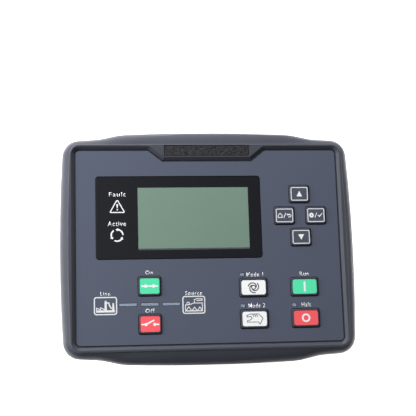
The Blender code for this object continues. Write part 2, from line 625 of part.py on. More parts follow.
def make_front_frame():
    flank_z = DEPTH - FLANK_DROP
    crease_z = DEPTH - RIM_STEP
    rings = []
    for share, rise in BACK_PROFILE:
        rings.append(ring(frame_outline(share), FRAME_BACK_Z + rise * (flank_z - FRAME_BACK_Z)))
    for share, rise in FLANK_PROFILE:
        rings.append(ring(frame_outline(share), flank_z + rise * (crease_z - flank_z)))
    rings.append(ring(frame_outline(0.0, RIM_ROUND * 0.3), DEPTH - RIM_STEP * 0.35))
    rings.append(ring(frame_outline(0.0, RIM_ROUND), DEPTH))
    mesh = bmesh.new()
    add_loft(mesh, rings)
    frame = make_object("front_frame", mesh, "frame_plastic")

    # Pocket, rear cavity, name strip recess, and the moulding's hollow back behind the flank
    cuts = bmesh.new()
    add_loft(cuts, pocket_rings())
    cavity_width = HOUSING_WIDTH - 2 * HOUSING_WALL - 2 * GAP
    cavity_height = HOUSING_HEIGHT - 2 * HOUSING_WALL - 2 * GAP
    cavity = rounded_rectangle(cavity_width, cavity_height, HOUSING_CORNER - HOUSING_WALL, 3)
    add_prism(cuts, cavity, FRAME_BACK_Z - OVERRUN, WEB_BACK_Z)
    recess_centre = (0.0, INSERT_LOW_Y + INSERT_HEIGHT / 2)
    recess = rounded_rectangle(
        INSERT_WIDTH + 2 * GAP, INSERT_HEIGHT + 2 * GAP, INSERT_CORNER + GAP, 2, recess_centre
    )
    add_prism(cuts, recess, DEPTH - INSERT_SINK - INSERT_THICKNESS - GAP, DEPTH + OVERRUN)
    groove_roof = flank_z - FRAME_WALL
    inner, outer = frame_outline(GROOVE_INNER), frame_outline(GROOVE_OUTER)
    low = FRAME_BACK_Z - OVERRUN
    add_frame(cuts, [ring(inner, low), ring(inner, groove_roof), ring(outer, groove_roof), ring(outer, low)])
    combine(frame, cuts, "DIFFERENCE")

    # Screw posts and spacer bosses hang from the web
    posts = bmesh.new()
    for x, y in CASE_SCREWS:
        add_prism(posts, circle(POST_RADIUS, 16, (x, y)), COLUMN_HEIGHT + GAP, WEB_BACK_Z + LAP)
    for x, y in SPACERS:
        add_prism(posts, circle(BOSS_RADIUS, 16, (x, y)), DISPLAY_FRONT_Z + GAP, WEB_BACK_Z + LAP)
    combine(frame, posts, "UNION")

    # Openings in the web for the display, the keys and the lights, and holes in the posts
    holes = bmesh.new()
    low, high = WEB_BACK_Z - OVERRUN / 2, WEB_TOP_Z + OVERRUN
    bezel_room = LCD_BORDER + LCD_WALL + 2 * GAP
    display = offset(rectangle(VIEW_WIDTH, VIEW_HEIGHT, (VIEW_X, VIEW_Y)), bezel_room)
    add_prism(holes, display, low, high)
    for _name, size, x, y, _material in KEYS:
        skirt = (size[0] + 2 * KEY_ROOM, size[1] + 2 * KEY_ROOM)
        add_prism(holes, rounded_rectangle(*skirt, KEY_CORNER + KEY_LIP, 2, (x, y)), low, high)
    for _name, size, x, y in LIGHTS:
        add_prism(holes, rectangle(size[0] + 2 * GAP, size[1] + 2 * GAP, (x, y)), low, high)
    for x, y in CASE_SCREWS:
        hole_end = COUNTERBORE_DEPTH + CASE_SHANK_LENGTH + 2 * GAP
        add_prism(holes, circle(STUD_RADIUS + HOLE_CLEARANCE, 12, (x, y)), COLUMN_HEIGHT - OVERRUN, hole_end)
    for x, y in SPACERS:
        stud_hole = circle(STUD_RADIUS + HOLE_CLEARANCE, 12, (x, y))
        add_prism(holes, stud_hole, DISPLAY_FRONT_Z, WEB_BACK_Z - BOSS_ROOF)
    combine(frame, holes, "DIFFERENCE")
    shade(frame, math.radians(40))


def make_name_insert():
    top = DEPTH - INSERT_SINK
    outline = rounded_rectangle(INSERT_WIDTH, INSERT_HEIGHT, INSERT_CORNER, 2)
    edge = INSERT_THICKNESS * 0.2
    rings = [
        ring(outline, top - INSERT_THICKNESS),
        ring(outline, top - edge),
        ring(offset(outline, -edge), top),
    ]
    solid("name_insert", rings, "name_film", (0.0, INSERT_LOW_Y + INSERT_HEIGHT / 2, 0.0))


def make_face_panel():
    outline = panel_outline()
    edge = PANEL_THICKNESS * 0.12
    mesh = bmesh.new()
    face = offset(outline, -edge)
    add_loft(mesh, [ring(outline, PANEL_BACK_Z), ring(outline, FACE_Z - edge), ring(face, FACE_Z)])
    panel = make_object("face_panel", mesh, "panel_film")
    holes = bmesh.new()
    low, high = PANEL_BACK_Z - OVERRUN, FACE_Z + OVERRUN
    window = rounded_rectangle(
        WINDOW_WIDTH + 2 * GAP, WINDOW_HEIGHT + 2 * GAP, WINDOW_CORNER + GAP, 4, (WINDOW_X, WINDOW_Y)
    )
    add_prism(holes, window, low, high)
    for _name, size, x, y, _material in KEYS:
        margin = 2 * KEY_CLEARANCE
        key_hole = rounded_rectangle(size[0] + margin, size[1] + margin, KEY_CORNER, 3, (x, y))
        add_prism(holes, key_hole, low, high)
    for _name, size, x, y in LIGHTS:
        add_prism(holes, rectangle(size[0] + 2 * GAP, size[1] + 2 * GAP, (x, y)), low, high)
    combine(panel, holes, "DIFFERENCE")


def make_screen_window():
    outline = rounded_rectangle(WINDOW_WIDTH, WINDOW_HEIGHT, WINDOW_CORNER, 4)
    top = FACE_Z - WINDOW_SINK
    edge = PANEL_THICKNESS * 0.1
    rings = [ring(outline, PANEL_BACK_Z), ring(outline, top - edge), ring(offset(outline, -edge), top)]
    solid("screen_window", rings, "window_lens", (WINDOW_X, WINDOW_Y, 0.0))


# Keys and light guides


def make_keys():
    """Each key is a cap with a lip that stops it under the panel and a stem in its switch."""
    lip_top = PANEL_BACK_Z - GAP - FACE_Z
    lip_bottom = lip_top - KEY_LIP_THICKNESS
    stem = rounded_rectangle(KEY_STEM, KEY_STEM, KEY_STEM * 0.45, 3)
    for name, (width, height), x, y, material in KEYS:
        skirt = rounded_rectangle(width, height, KEY_CORNER, 3)
        lip = offset(skirt, KEY_LIP)
        rings = [
            ring(stem, STEM_END_Z - FACE_Z),
            ring(stem, lip_bottom),
            ring(lip, lip_bottom),
            ring(lip, lip_top),
            ring(skirt, lip_top),
            ring(skirt, KEY_RISE * 0.25),
            ring(offset(skirt, -KEY_SLOPE * 0.45), KEY_RISE * 0.78),
            ring(offset(skirt, -KEY_SLOPE), KEY_RISE),
        ]
        solid(name, rings, material, (x, y, FACE_Z))


def make_lights():
    for name, (width, height), x, y in LIGHTS:
        outline = rectangle(width, height)
        rings = [ring(outline, LAMP_TOP_Z + GAP), ring(outline, FACE_Z - LIGHT_SINK)]
        solid(name, rings, "light_guide", (x, y, 0.0))


# Display module and boards


def make_display_module():
    glass_size = (VIEW_WIDTH + 2 * LCD_BORDER, VIEW_HEIGHT + 2 * LCD_BORDER)
    centre = (VIEW_X, VIEW_Y, 0.0)
    bezel_top = PANEL_BACK_Z - 2 * GAP
    lip_back = bezel_top - LCD_LIP
    glass_top = lip_back - GAP
    glass_back = glass_top - LCD_GLASS_THICKNESS
    view = rectangle(VIEW_WIDTH, VIEW_HEIGHT)
    cavity = rectangle(glass_size[0] + 2 * GAP, glass_size[1] + 2 * GAP)
    outer = offset(cavity, LCD_WALL)
    mesh = bmesh.new()
    foot = DISPLAY_FRONT_Z + GAP
    outside = ((outer, foot), (outer, bezel_top))
    inside = ((view, bezel_top), (view, lip_back), (cavity, lip_back), (cavity, foot))
    sections = outside + inside
    add_frame(mesh, [ring(outline, z) for outline, z in sections])
    make_object("lcd_bezel", mesh, "lcd_metal", centre)
    glass = rectangle(*glass_size)
    solid("lcd_glass", [ring(glass, glass_back), ring(glass, glass_top)], "lcd_glass", centre)
    solid("lcd_backlight", [ring(glass, foot), ring(glass, glass_back - GAP)], "backlight", centre)


def make_display_board():
    mesh = bmesh.new()
    add_prism(mesh, rectangle(*DISPLAY_BOARD), DISPLAY_BACK_Z, DISPLAY_FRONT_Z)
    board = make_object("display_board", mesh, "circuit_board")
    fitted = bmesh.new()
    root = DISPLAY_FRONT_Z - LAP
    for _name, _size, x, y, _material in KEYS:
        add_prism(fitted, rectangle(SWITCH_SIZE, SWITCH_SIZE, (x, y)), root, SWITCH_TOP_Z)
    for _name, size, x, y in LIGHTS:
        add_prism(fitted, rectangle(size[0], size[1], (x, y)), root, LAMP_TOP_Z)
    combine(board, fitted, "UNION")
    holes = bmesh.new()
    well = KEY_STEM + 2 * KEY_CLEARANCE
    for _name, _size, x, y, _material in KEYS:
        outline = rounded_rectangle(well, well, well * 0.3, 1, (x, y))
        add_prism(holes, outline, SWITCH_FLOOR_Z, SWITCH_TOP_Z + OVERRUN)
    for x, y in SPACERS:
        hole = circle(STUD_RADIUS + HOLE_CLEARANCE, 12, (x, y))
        add_prism(holes, hole, DISPLAY_BACK_Z - OVERRUN, DISPLAY_FRONT_Z + OVERRUN)
    combine(board, holes, "DIFFERENCE")


def make_power_board():
    mesh = bmesh.new()
    add_prism(mesh, rectangle(*POWER_BOARD), POWER_BACK_Z, POWER_FRONT_Z)
    board = make_object("power_board", mesh, "circuit_board")
    holes = bmesh.new()
    for x, y in SPACERS:
        hole = circle(STUD_RADIUS + HOLE_CLEARANCE, 12, (x, y))
        add_prism(holes, hole, POWER_BACK_Z - OVERRUN, POWER_FRONT_Z + OVERRUN)
    combine(board, holes, "DIFFERENCE")


def make_spacers():
    """Round spacers between the boards, each with a stud into the frame, and the screws behind them."""
    foot, top = POWER_FRONT_Z + GAP, DISPLAY_BACK_Z - GAP
    bore, body, stud = circle(STUD_RADIUS + HOLE_CLEARANCE), circle(SPACER_RADIUS), circle(STUD_RADIUS)
    stud_tip = WEB_BACK_Z - BOSS_ROOF - GAP
    spacer = [
        ring(bore, foot + SPACER_HOLE_DEPTH),
        ring(bore, foot),
        ring(body, foot),
        ring(body, top),
        ring(stud, top),
        ring(stud, stud_tip),
    ]
    head_front = POWER_BACK_Z - GAP
    screw = [
        ring(circle(SCREW_HEAD_RADIUS * 0.75), head_front - SCREW_HEAD_HEIGHT),
        ring(circle(SCREW_HEAD_RADIUS), head_front - SCREW_HEAD_HEIGHT * 0.6),
        ring(circle(SCREW_HEAD_RADIUS), head_front),
        ring(stud, head_front),
        ring(stud, foot + SPACER_HOLE_DEPTH - GAP),
    ]
    for number, (x, y) in enumerate(SPACERS, start=1):
        solid(f"spacer_{number}", spacer, "zinc_steel", (x, y, 0.0))
        solid(f"board_screw_{number}", screw, "zinc_steel", (x, y, 0.0))


def make_board_parts():
    """What the power board carries: relays and the like behind it, the link and clock cell in front."""
    for number in range(RELAY_COUNT):
        outline = rectangle(*RELAY)
        edge = RELAY[0] * 0.04
        end = HOUSING_WALL + RELAY_REAR_GAP
        rings = [ring(offset(outline, -edge), end), ring(outline, end + edge), ring(outline, PART_SEAT_Z)]
        place = (RELAY_START_X + number * RELAY_PITCH, RELAY_Y, 0.0)
        solid(f"relay_{number + 1}", rings, "relay_case", place)
    for number, side in enumerate((-1, 1), start=1):
        can = circle(CAPACITOR_RADIUS, 16)
        edge = CAPACITOR_RADIUS * 0.12
        end = HOUSING_WALL + CAPACITOR_REAR_GAP
        cap = circle(CAPACITOR_RADIUS - edge, 16)
        rings = [ring(cap, end), ring(can, end + edge), ring(can, PART_SEAT_Z)]
        place = (CAPACITOR_X, CAPACITOR_Y + side * CAPACITOR_SPREAD / 2, 0.0)
        solid(f"capacitor_{number}", rings, "capacitor_sleeve", place)
    core = rounded_rectangle(*TRANSFORMER, TRANSFORMER[1] * 0.12, 2)
    rings = [ring(core, HOUSING_WALL + TRANSFORMER_REAR_GAP), ring(core, PART_SEAT_Z)]
    solid("transformer", rings, "transformer_tape", (TRANSFORMER_X, TRANSFORMER_Y, 0.0))
    link = rectangle(*LINK_SIZE)
    rings = [ring(link, POWER_FRONT_Z + GAP), ring(link, DISPLAY_BACK_Z - GAP)]
    solid("board_link", rings, "connector_black", (LINK_X, LINK_Y, 0.0))
    cell = circle(CELL_RADIUS, 20)
    rings = [ring(cell, POWER_FRONT_Z + GAP), ring(cell, POWER_FRONT_Z + GAP + CELL_HEIGHT)]
    solid("clock_cell", rings, "zinc_steel", (CELL_X, CELL_Y, 0.0))


def port_outline(width, height):
    """A square-shouldered socket mouth: a rectangle with two chamfered corners."""
    half_w, half_h = width / 2, height / 2
    right = [(half_w, -half_h), (half_w, half_h - PORT_CHAMFER), (half_w - PORT_CHAMFER, half_h)]
    return right + [(-x, y) for x, y in reversed(right)]


def make_service_port():
    floor_z = PART_SEAT_Z - PORT_BASE
    shell = port_outline(PORT_WIDTH, PORT_HEIGHT)
    mouth = offset(shell, -PORT_WALL)
    mesh = bmesh.new()
    sections = ((shell, PART_SEAT_Z), (shell, PORT_SINK), (mouth, PORT_SINK), (mouth, floor_z))
    add_loft(mesh, [ring(outline, z) for outline, z in sections])
    port = make_object("service_port", mesh, "port_shell", (PORT_X, PORT_Y, 0.0))
    tongue = bmesh.new()
    add_prism(tongue, rectangle(*PORT_TONGUE), PORT_SINK + PORT_BASE, floor_z + LAP)
    combine(port, tongue, "UNION")


# Terminal blocks


def terminal_places():
    """Name, number of ways, centre and the side of the face that each block is on, centred in the step."""
    for blocks, side in ((UPPER_TERMINALS, 1), (LOWER_TERMINALS, -1)):
        ways_in_row = sum(ways for _name, ways in blocks)
        start = -(ways_in_row * TERMINAL_PITCH + (len(blocks) - 1) * TERMINAL_SPACING) / 2
        for name, ways in blocks:
            width = ways * TERMINAL_PITCH
            yield name, ways, start + width / 2, side
            start += width + TERMINAL_SPACING


def make_terminals():
    floor_z = PART_SEAT_Z - HEADER_BASE
    for name, ways, x, side in terminal_places():
        width = ways * TERMINAL_PITCH
        place = (x, side * TERMINAL_ROW_Y, 0.0)
        shell = rectangle(width, HEADER_DEPTH)
        inside = offset(shell, -HEADER_WALL)
        outer_wall = ((shell, PART_SEAT_Z), (shell, HEADER_MOUTH_Z))
        sections = outer_wall + ((inside, HEADER_MOUTH_Z), (inside, floor_z))
        header = [ring(outline, z) for outline, z in sections]
        solid(f"terminal_header_{name}", header, "terminal_green", place)

        inner_y, outer_y = -side * PLUG_INSIDE, side * PLUG_OUTSIDE
        breadth, centre_y = PLUG_INSIDE + PLUG_OUTSIDE, (inner_y + outer_y) / 2
        block = rectangle(width, breadth, (0.0, centre_y))
        sloped = rectangle(width, breadth - PLUG_CHAMFER, (0.0, centre_y - side * PLUG_CHAMFER / 2))
        mesh = bmesh.new()
        sections = ((sloped, PLUG_REAR_Z), (block, PLUG_REAR_Z + PLUG_CHAMFER), (block, PLUG_FRONT_Z))
        add_loft(mesh, [ring(outline, z) for outline, z in sections])
        plug = make_object(f"terminal_plug_{name}", mesh, "terminal_green", place)
        tongue = bmesh.new()
        add_prism(tongue, offset(inside, -GAP), PLUG_FRONT_Z - LAP, floor_z - GAP)
        combine(plug, tongue, "UNION")
        wells = bmesh.new()
        hole_z = PLUG_FRONT_Z - WIRE_HOLE_INSET - WIRE_HOLE / 2
        low_y, high_y = sorted((outer_y - side * WIRE_HOLE_DEPTH, outer_y + side * OVERRUN))
        for way in range(ways):
            way_x = (way + 0.5) * TERMINAL_PITCH - width / 2
            low = (way_x - WIRE_HOLE / 2, low_y, hole_z - WIRE_HOLE / 2)
            high = (way_x + WIRE_HOLE / 2, high_y, hole_z + WIRE_HOLE / 2)
            add_box(wells, low, high)
            screw = circle(TERMINAL_SCREW_RADIUS, 8, (way_x, 0.0))
            add_prism(wells, screw, PLUG_REAR_Z - OVERRUN, PLUG_REAR_Z + TERMINAL_SCREW_SINK)
        combine(plug, wells, "DIFFERENCE")


# Rear housing


def housing_cavity():
    """The housing's inside behind the steps: wide at the side walls, and narrow between the steps."""
    end_x = HOUSING_WIDTH / 2 - HOUSING_WALL
    end_y = HOUSING_HEIGHT / 2 - HOUSING_WALL
    step_x = STEP_X + HOUSING_WALL
    step_y = STEP_Y - HOUSING_WALL
    quarter = [(end_x, end_y), (step_x, end_y), (step_x, step_y)]
    upper = quarter + [(-x, y) for x, y in reversed(quarter)]
    return upper + [(-x, -y) for x, y in upper]


def make_rear_housing():
    outline = rounded_rectangle(HOUSING_WIDTH, HOUSING_HEIGHT, HOUSING_CORNER, 4)
    edge = HOUSING_WALL * 0.4
    rear = offset(outline, -HOUSING_DRAFT)
    mesh = bmesh.new()
    add_loft(mesh, [ring(offset(rear, -edge), 0.0), ring(rear, edge), ring(outline, HOUSING_FRONT_Z)])
    housing = make_object("rear_housing", mesh, "housing_plastic")

    front = bmesh.new()
    inner = offset(outline, -HOUSING_WALL)
    add_prism(front, inner, STEP_INNER_Z, HOUSING_FRONT_Z + OVERRUN)
    combine(housing, front, "DIFFERENCE")
    ends = bmesh.new()
    add_prism(ends, housing_cavity(), HOUSING_WALL, STEP_INNER_Z + OVERRUN)
    combine(housing, ends, "DIFFERENCE")

    columns = bmesh.new()
    for x, y in CASE_SCREWS:
        add_prism(columns, circle(COLUMN_RADIUS, 16, (x, y)), HOUSING_WALL - LAP, COLUMN_HEIGHT)
    combine(housing, columns, "UNION")

    cuts = bmesh.new()
    for side in (-1, 1):
        low_y, high_y = sorted((side * STEP_Y, side * (HOUSING_HEIGHT / 2 + OVERRUN)))
        add_box(cuts, (-STEP_X, low_y, -OVERRUN), (STEP_X, high_y, STEP_OUTER_Z))
    for x, y in CASE_SCREWS:
        counterbore = circle(COUNTERBORE_RADIUS, 16, (x, y))
        hole = circle(STUD_RADIUS + HOLE_CLEARANCE, 16, (x, y))
        bore = [ring(counterbore, -OVERRUN), ring(counterbore, COUNTERBORE_DEPTH)]
        bore += [ring(hole, COUNTERBORE_DEPTH), ring(hole, COLUMN_HEIGHT + OVERRUN)]
        add_loft(cuts, bore)
    for side in (-1, 1):
        for slot_y in (-CLIP_SLOT_Y, CLIP_SLOT_Y):
            inside = HOUSING_WIDTH / 2 - 2 * HOUSING_WALL
            low_x, high_x = sorted((side * inside, side * (HOUSING_WIDTH / 2 + OVERRUN)))
            low = (low_x, slot_y - CLIP_SLOT_LENGTH / 2, CLIP_SLOT_Z - CLIP_SLOT_HEIGHT / 2)
            high = (high_x, slot_y + CLIP_SLOT_LENGTH / 2, CLIP_SLOT_Z + CLIP_SLOT_HEIGHT / 2)
            add_box(cuts, low, high)
    mouth = [(x + PORT_X, y + PORT_Y) for x, y in offset(port_outline(PORT_WIDTH, PORT_HEIGHT), GAP)]
    add_prism(cuts, mouth, -OVERRUN, HOUSING_WALL + OVERRUN)
    combine(housing, cuts, "DIFFERENCE")

    headers = bmesh.new()
    for _name, ways, x, side in terminal_places():
        centre = (x, side * TERMINAL_ROW_Y)
        opening = rectangle(ways * TERMINAL_PITCH + 2 * GAP, HEADER_DEPTH + 2 * GAP, centre)
        add_prism(headers, opening, STEP_OUTER_Z - OVERRUN, STEP_INNER_Z + OVERRUN)
    combine(housing, headers, "DIFFERENCE")
    shade(housing)


def make_case_screws():
    seat = COUNTERBORE_DEPTH - GAP
    shank = circle(STUD_RADIUS)
    rings = [
        ring(circle(CASE_HEAD_RADIUS * 0.75), seat - CASE_HEAD_HEIGHT),
        ring(circle(CASE_HEAD_RADIUS), seat - CASE_HEAD_HEIGHT * 0.6),
        ring(circle(CASE_HEAD_RADIUS), seat),
        ring(shank, seat),
        ring(shank, seat + CASE_SHANK_LENGTH),
    ]
    for number, (x, y) in enumerate(CASE_SCREWS, start=1):
        solid(f"case_screw_{number}", rings, "zinc_steel", (x, y, 0.0))


def make_gasket():
    front, back = FRAME_BACK_Z - GAP, FRAME_BACK_Z - GAP - GASKET_THICKNESS
    inner = rounded_rectangle(HOUSING_WIDTH + 2 * GAP, HOUSING_HEIGHT + 2 * GAP, HOUSING_CORNER, 4)
    width = HOUSING_WIDTH + 2 * (GAP + GASKET_SIDE)
    height = HOUSING_HEIGHT + 2 * (GAP + GASKET_TOP)
    outer = rounded_rectangle(width, height, HOUSING_CORNER + GASKET_TOP, 4)
    mesh = bmesh.new()
    add_frame(mesh, [ring(inner, back), ring(outer, back), ring(outer, front), ring(inner, front)])
    shade(make_object("panel_gasket", mesh, "gasket_foam"))


clear_scene()
make_front_frame()
make_name_insert()
make_face_panel()
make_screen_window()
make_keys()
make_lights()
make_display_module()
make_display_board()
make_power_board()
make_spacers()
make_board_parts()
make_service_port()
make_terminals()
make_rear_housing()
make_case_screws()
make_gasket()
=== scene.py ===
"""A panel-mounted controller for a generating set, lying face up on a white studio table.

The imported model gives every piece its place. Units are metres: X runs across the face, Y up the
face and Z out of it, from the middle of the rear face.
"""

import json
import math

import bpy
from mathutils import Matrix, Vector

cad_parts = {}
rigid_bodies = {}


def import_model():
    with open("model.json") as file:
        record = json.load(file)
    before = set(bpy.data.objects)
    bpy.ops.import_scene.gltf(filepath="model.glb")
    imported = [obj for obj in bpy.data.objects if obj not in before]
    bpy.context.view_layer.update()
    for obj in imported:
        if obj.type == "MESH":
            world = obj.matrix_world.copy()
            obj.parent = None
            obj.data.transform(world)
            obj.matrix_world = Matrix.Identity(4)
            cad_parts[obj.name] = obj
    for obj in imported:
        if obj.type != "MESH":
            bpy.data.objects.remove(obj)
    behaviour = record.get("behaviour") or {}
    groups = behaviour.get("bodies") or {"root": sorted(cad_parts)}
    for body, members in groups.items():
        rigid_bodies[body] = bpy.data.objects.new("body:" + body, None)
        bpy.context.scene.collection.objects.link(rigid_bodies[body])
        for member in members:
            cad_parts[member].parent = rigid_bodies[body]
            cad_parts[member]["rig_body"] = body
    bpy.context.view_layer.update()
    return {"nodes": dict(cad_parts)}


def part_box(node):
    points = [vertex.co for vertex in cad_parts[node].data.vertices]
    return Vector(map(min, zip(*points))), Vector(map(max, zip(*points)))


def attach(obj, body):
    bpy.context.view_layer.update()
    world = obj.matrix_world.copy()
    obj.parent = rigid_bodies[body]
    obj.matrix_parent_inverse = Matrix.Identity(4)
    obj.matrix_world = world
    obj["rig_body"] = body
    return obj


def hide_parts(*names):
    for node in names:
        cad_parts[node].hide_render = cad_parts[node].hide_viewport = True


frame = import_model()

bpy.ops.object.select_all(action="DESELECT")

# Camera
# A long lens looks down on the face, from a little below and to the left of its middle.
CAMERA_PLACE = (-0.0830, -0.1077, 0.7618)
CAMERA_TURN = (10.7238, -6.2642, -1.6785)
LENS_LENGTH = 89.83
SENSOR_WIDTH = 36.0
NEAREST = 0.01
bpy.ops.object.camera_add(
    location=CAMERA_PLACE, rotation=[math.radians(angle) for angle in CAMERA_TURN]
)
camera = bpy.context.object
camera.name = "studio_camera"
camera.data.lens = LENS_LENGTH
camera.data.sensor_width = SENSOR_WIDTH
camera.data.clip_start = NEAREST
bpy.context.scene.camera = camera
bpy.context.scene.view_settings.view_transform = "Standard"

# Table and light
# The table and the room are white paper. Round a spot below the object's lower edge the paper's glow is
# painted dark, as painted shade that the object sees and the camera doesn't, which keeps the lower flank
# dark. Light comes from the left and the top, and a low lamp lights the right flank alone. The top lamp
# only fills, so it casts no shadows.
TABLE_SIZE = 40.0
TABLE_DROP = 0.0002
PAPER_WHITE = (0.90, 0.90, 0.90)
PAPER_ROUGHNESS = 0.9
PAPER_GLOW_SEEN = 0.82
PAPER_GLOW_CAST = 1.15
SHADE_SPOT_GLOW = 0.03
SHADE_SPOT_CENTRE = (0.0, -0.26, 0.0)
SHADE_SPOT_INNER = 0.09
SHADE_SPOT_OUTER = 0.25
ROOM_ACROSS = ((-1.0, 1.40), (-0.45, 0.78), (0.0, 0.42), (0.16, 0.18), (0.45, 0.24), (1.0, 0.50))
ROOM_UP = ((-1.0, 0.03), (-0.4, 0.18), (0.0, 0.97), (0.3, 1.02), (0.6, 1.60), (1.0, 2.60))
LAMPS = (
    ("left_light", (-0.60, 0.12, 0.30), 0.35, 4.2, True),
    ("top_light", (-0.18, 0.70, 0.24), 0.40, 7.8, False),
    ("right_light", (0.42, 0.03, 0.012), 0.03, 1.0, True),
)


def add_node(owner, kind, **settings):
    """A new node in a material or in the world, with its settings."""
    node = owner.node_tree.nodes.new(kind)
    for name, value in settings.items():
        setattr(node, name, value)
    return node


def wire(owner, source, target):
    """Joins one node's output to another node's input."""
    owner.node_tree.links.new(source, target)


bpy.ops.mesh.primitive_plane_add(size=TABLE_SIZE, location=(0.0, 0.0, -TABLE_DROP))
table = bpy.context.object
table.name = "studio_table"
paper = bpy.data.materials.new("table_paper")
paper.use_nodes = True
paper_shader = paper.node_tree.nodes["Principled BSDF"]
paper_shader.inputs["Base Color"].default_value = (*PAPER_WHITE, 1.0)
paper_shader.inputs["Roughness"].default_value = PAPER_ROUGHNESS
paper_shader.inputs["Specular IOR Level"].default_value = 0.0
paper_shader.inputs["Emission Color"].default_value = (1.0, 1.0, 1.0, 1.0)
paper_place = add_node(paper, "ShaderNodeTexCoord")
# Painted shade: the paper's glow falls off round a spot below the object's lower edge, for every ray but
# the camera's.
from_shade_spot = add_node(paper, "ShaderNodeVectorMath", operation="SUBTRACT")
from_shade_spot.inputs[1].default_value = SHADE_SPOT_CENTRE
wire(paper, paper_place.outputs["Object"], from_shade_spot.inputs[0])
reach = add_node(paper, "ShaderNodeVectorMath", operation="LENGTH")
wire(paper, from_shade_spot.outputs["Vector"], reach.inputs[0])
shade = add_node(paper, "ShaderNodeMapRange", interpolation_type="SMOOTHSTEP")
shade.inputs["From Min"].default_value = SHADE_SPOT_INNER
shade.inputs["From Max"].default_value = SHADE_SPOT_OUTER
shade.inputs["To Min"].default_value = SHADE_SPOT_GLOW
shade.inputs["To Max"].default_value = PAPER_GLOW_CAST
wire(paper, reach.outputs["Value"], shade.inputs["Value"])
paper_rays = add_node(paper, "ShaderNodeLightPath")
glow = add_node(paper, "ShaderNodeMix", data_type="FLOAT")
wire(paper, paper_rays.outputs["Is Camera Ray"], glow.inputs["Factor"])
wire(paper, shade.outputs["Result"], glow.inputs["A"])
glow.inputs["B"].default_value = PAPER_GLOW_SEEN
wire(paper, glow.outputs["Result"], paper_shader.inputs["Emission Strength"])
underside = add_node(paper, "ShaderNodeNewGeometry")
clear = add_node(paper, "ShaderNodeBsdfTransparent")
sheet = add_node(paper, "ShaderNodeMixShader")
wire(paper, underside.outputs["Backfacing"], sheet.inputs["Fac"])
wire(paper, paper_shader.outputs["BSDF"], sheet.inputs[1])
wire(paper, clear.outputs["BSDF"], sheet.inputs[2])
wire(paper, sheet.outputs["Shader"], paper.node_tree.nodes["Material Output"].inputs["Surface"])
table.data.materials.append(paper)

room = bpy.data.worlds.new("studio_room")
bpy.context.scene.world = room
room.use_nodes = True
backdrop = room.node_tree.nodes["Background"]
backdrop.inputs["Color"].default_value = (1.0, 1.0, 1.0, 1.0)
heading = add_node(room, "ShaderNodeTexCoord")
axes = add_node(room, "ShaderNodeSeparateXYZ")
wire(room, heading.outputs["Generated"], axes.inputs["Vector"])


def room_fade(axis, stops):
    """Light that changes along one axis of the room: each stop is a direction from -1 to 1 and a level."""
    share = add_node(room, "ShaderNodeMath", operation="MULTIPLY_ADD")
    share.inputs[1].default_value = 0.5
    share.inputs[2].default_value = 0.5
    wire(room, axes.outputs[axis], share.inputs[0])
    fade = add_node(room, "ShaderNodeValToRGB")
    ramp = fade.color_ramp
    ramp.interpolation = "B_SPLINE"
    for stop, level in stops[1:-1]:
        ramp.elements.new(stop / 2 + 0.5)
    for element, (stop, level) in zip(ramp.elements, stops):
        element.position = stop / 2 + 0.5
        element.color = (level, level, level, 1.0)
    wire(room, share.outputs["Value"], fade.inputs["Fac"])
    return fade.outputs["Color"]


room_glow = add_node(room, "ShaderNodeMath", operation="MULTIPLY")
wire(room, room_fade("X", ROOM_ACROSS), room_glow.inputs[0])
wire(room, room_fade("Y", ROOM_UP), room_glow.inputs[1])
room_rays = add_node(room, "ShaderNodeLightPath")
strength = add_node(room, "ShaderNodeMix", data_type="FLOAT")
wire(room, room_rays.outputs["Is Camera Ray"], strength.inputs["Factor"])
wire(room, room_glow.outputs["Value"], strength.inputs["A"])
strength.inputs["B"].default_value = 1.0
wire(room, strength.outputs["Result"], backdrop.inputs["Strength"])

for name, position, size, power, shadow in LAMPS:
    bpy.ops.object.light_add(type="AREA", location=position)
    lamp = bpy.context.object
    lamp.name = name
    lamp.rotation_euler = Vector(position).to_track_quat("Z", "Y").to_euler()
    lamp.data.shape = "SQUARE"
    lamp.data.size = size
    lamp.data.energy = power
    lamp.data.use_shadow = shadow
    lamp.visible_camera = False
    lamp.visible_glossy = False

# Front frame
# One moulding of dark grey plastic with a fine spark-eroded grain. Its rim stands round the panel,
# its flanks bulge outwards, and the tool left every edge slightly round.
SHARP = math.radians(38)
FRAME_SHARP = math.radians(20)
FRAME_EDGE = 0.00022
EDGE_SEGMENTS = 2
FLATS_FIRST = 100
WELD_DISTANCE = 0.000004
FLAT_ANGLE = math.radians(0.8)
BROAD_SCALE = 28.0
BROAD_SHARE = 0.35
NOISE_LOW = 0.34
NOISE_HIGH = 0.66


def select_only(piece):
    """Selects one piece alone, and makes it the one that operators work on."""
    bpy.ops.object.select_all(action="DESELECT")
    piece.select_set(True)
    bpy.context.view_layer.objects.active = piece


def rounded(piece, width, sharp=SHARP):
    """Rounds a piece's sharp edges, and keeps its flats flat in the shading between them."""
    select_only(piece)
    if width > 0:
        rounding = piece.modifiers.new("rounding", "BEVEL")
        rounding.width = width
        rounding.segments = EDGE_SEGMENTS
        rounding.limit_method = "ANGLE"
        rounding.angle_limit = sharp
        bpy.ops.object.modifier_apply(modifier=rounding.name)
    bpy.ops.object.shade_smooth_by_angle(angle=sharp)
    flats = piece.modifiers.new("flats", "WEIGHTED_NORMAL")
    flats.weight = FLATS_FIRST
    flats.keep_sharp = True
    bpy.ops.object.modifier_apply(modifier=flats.name)


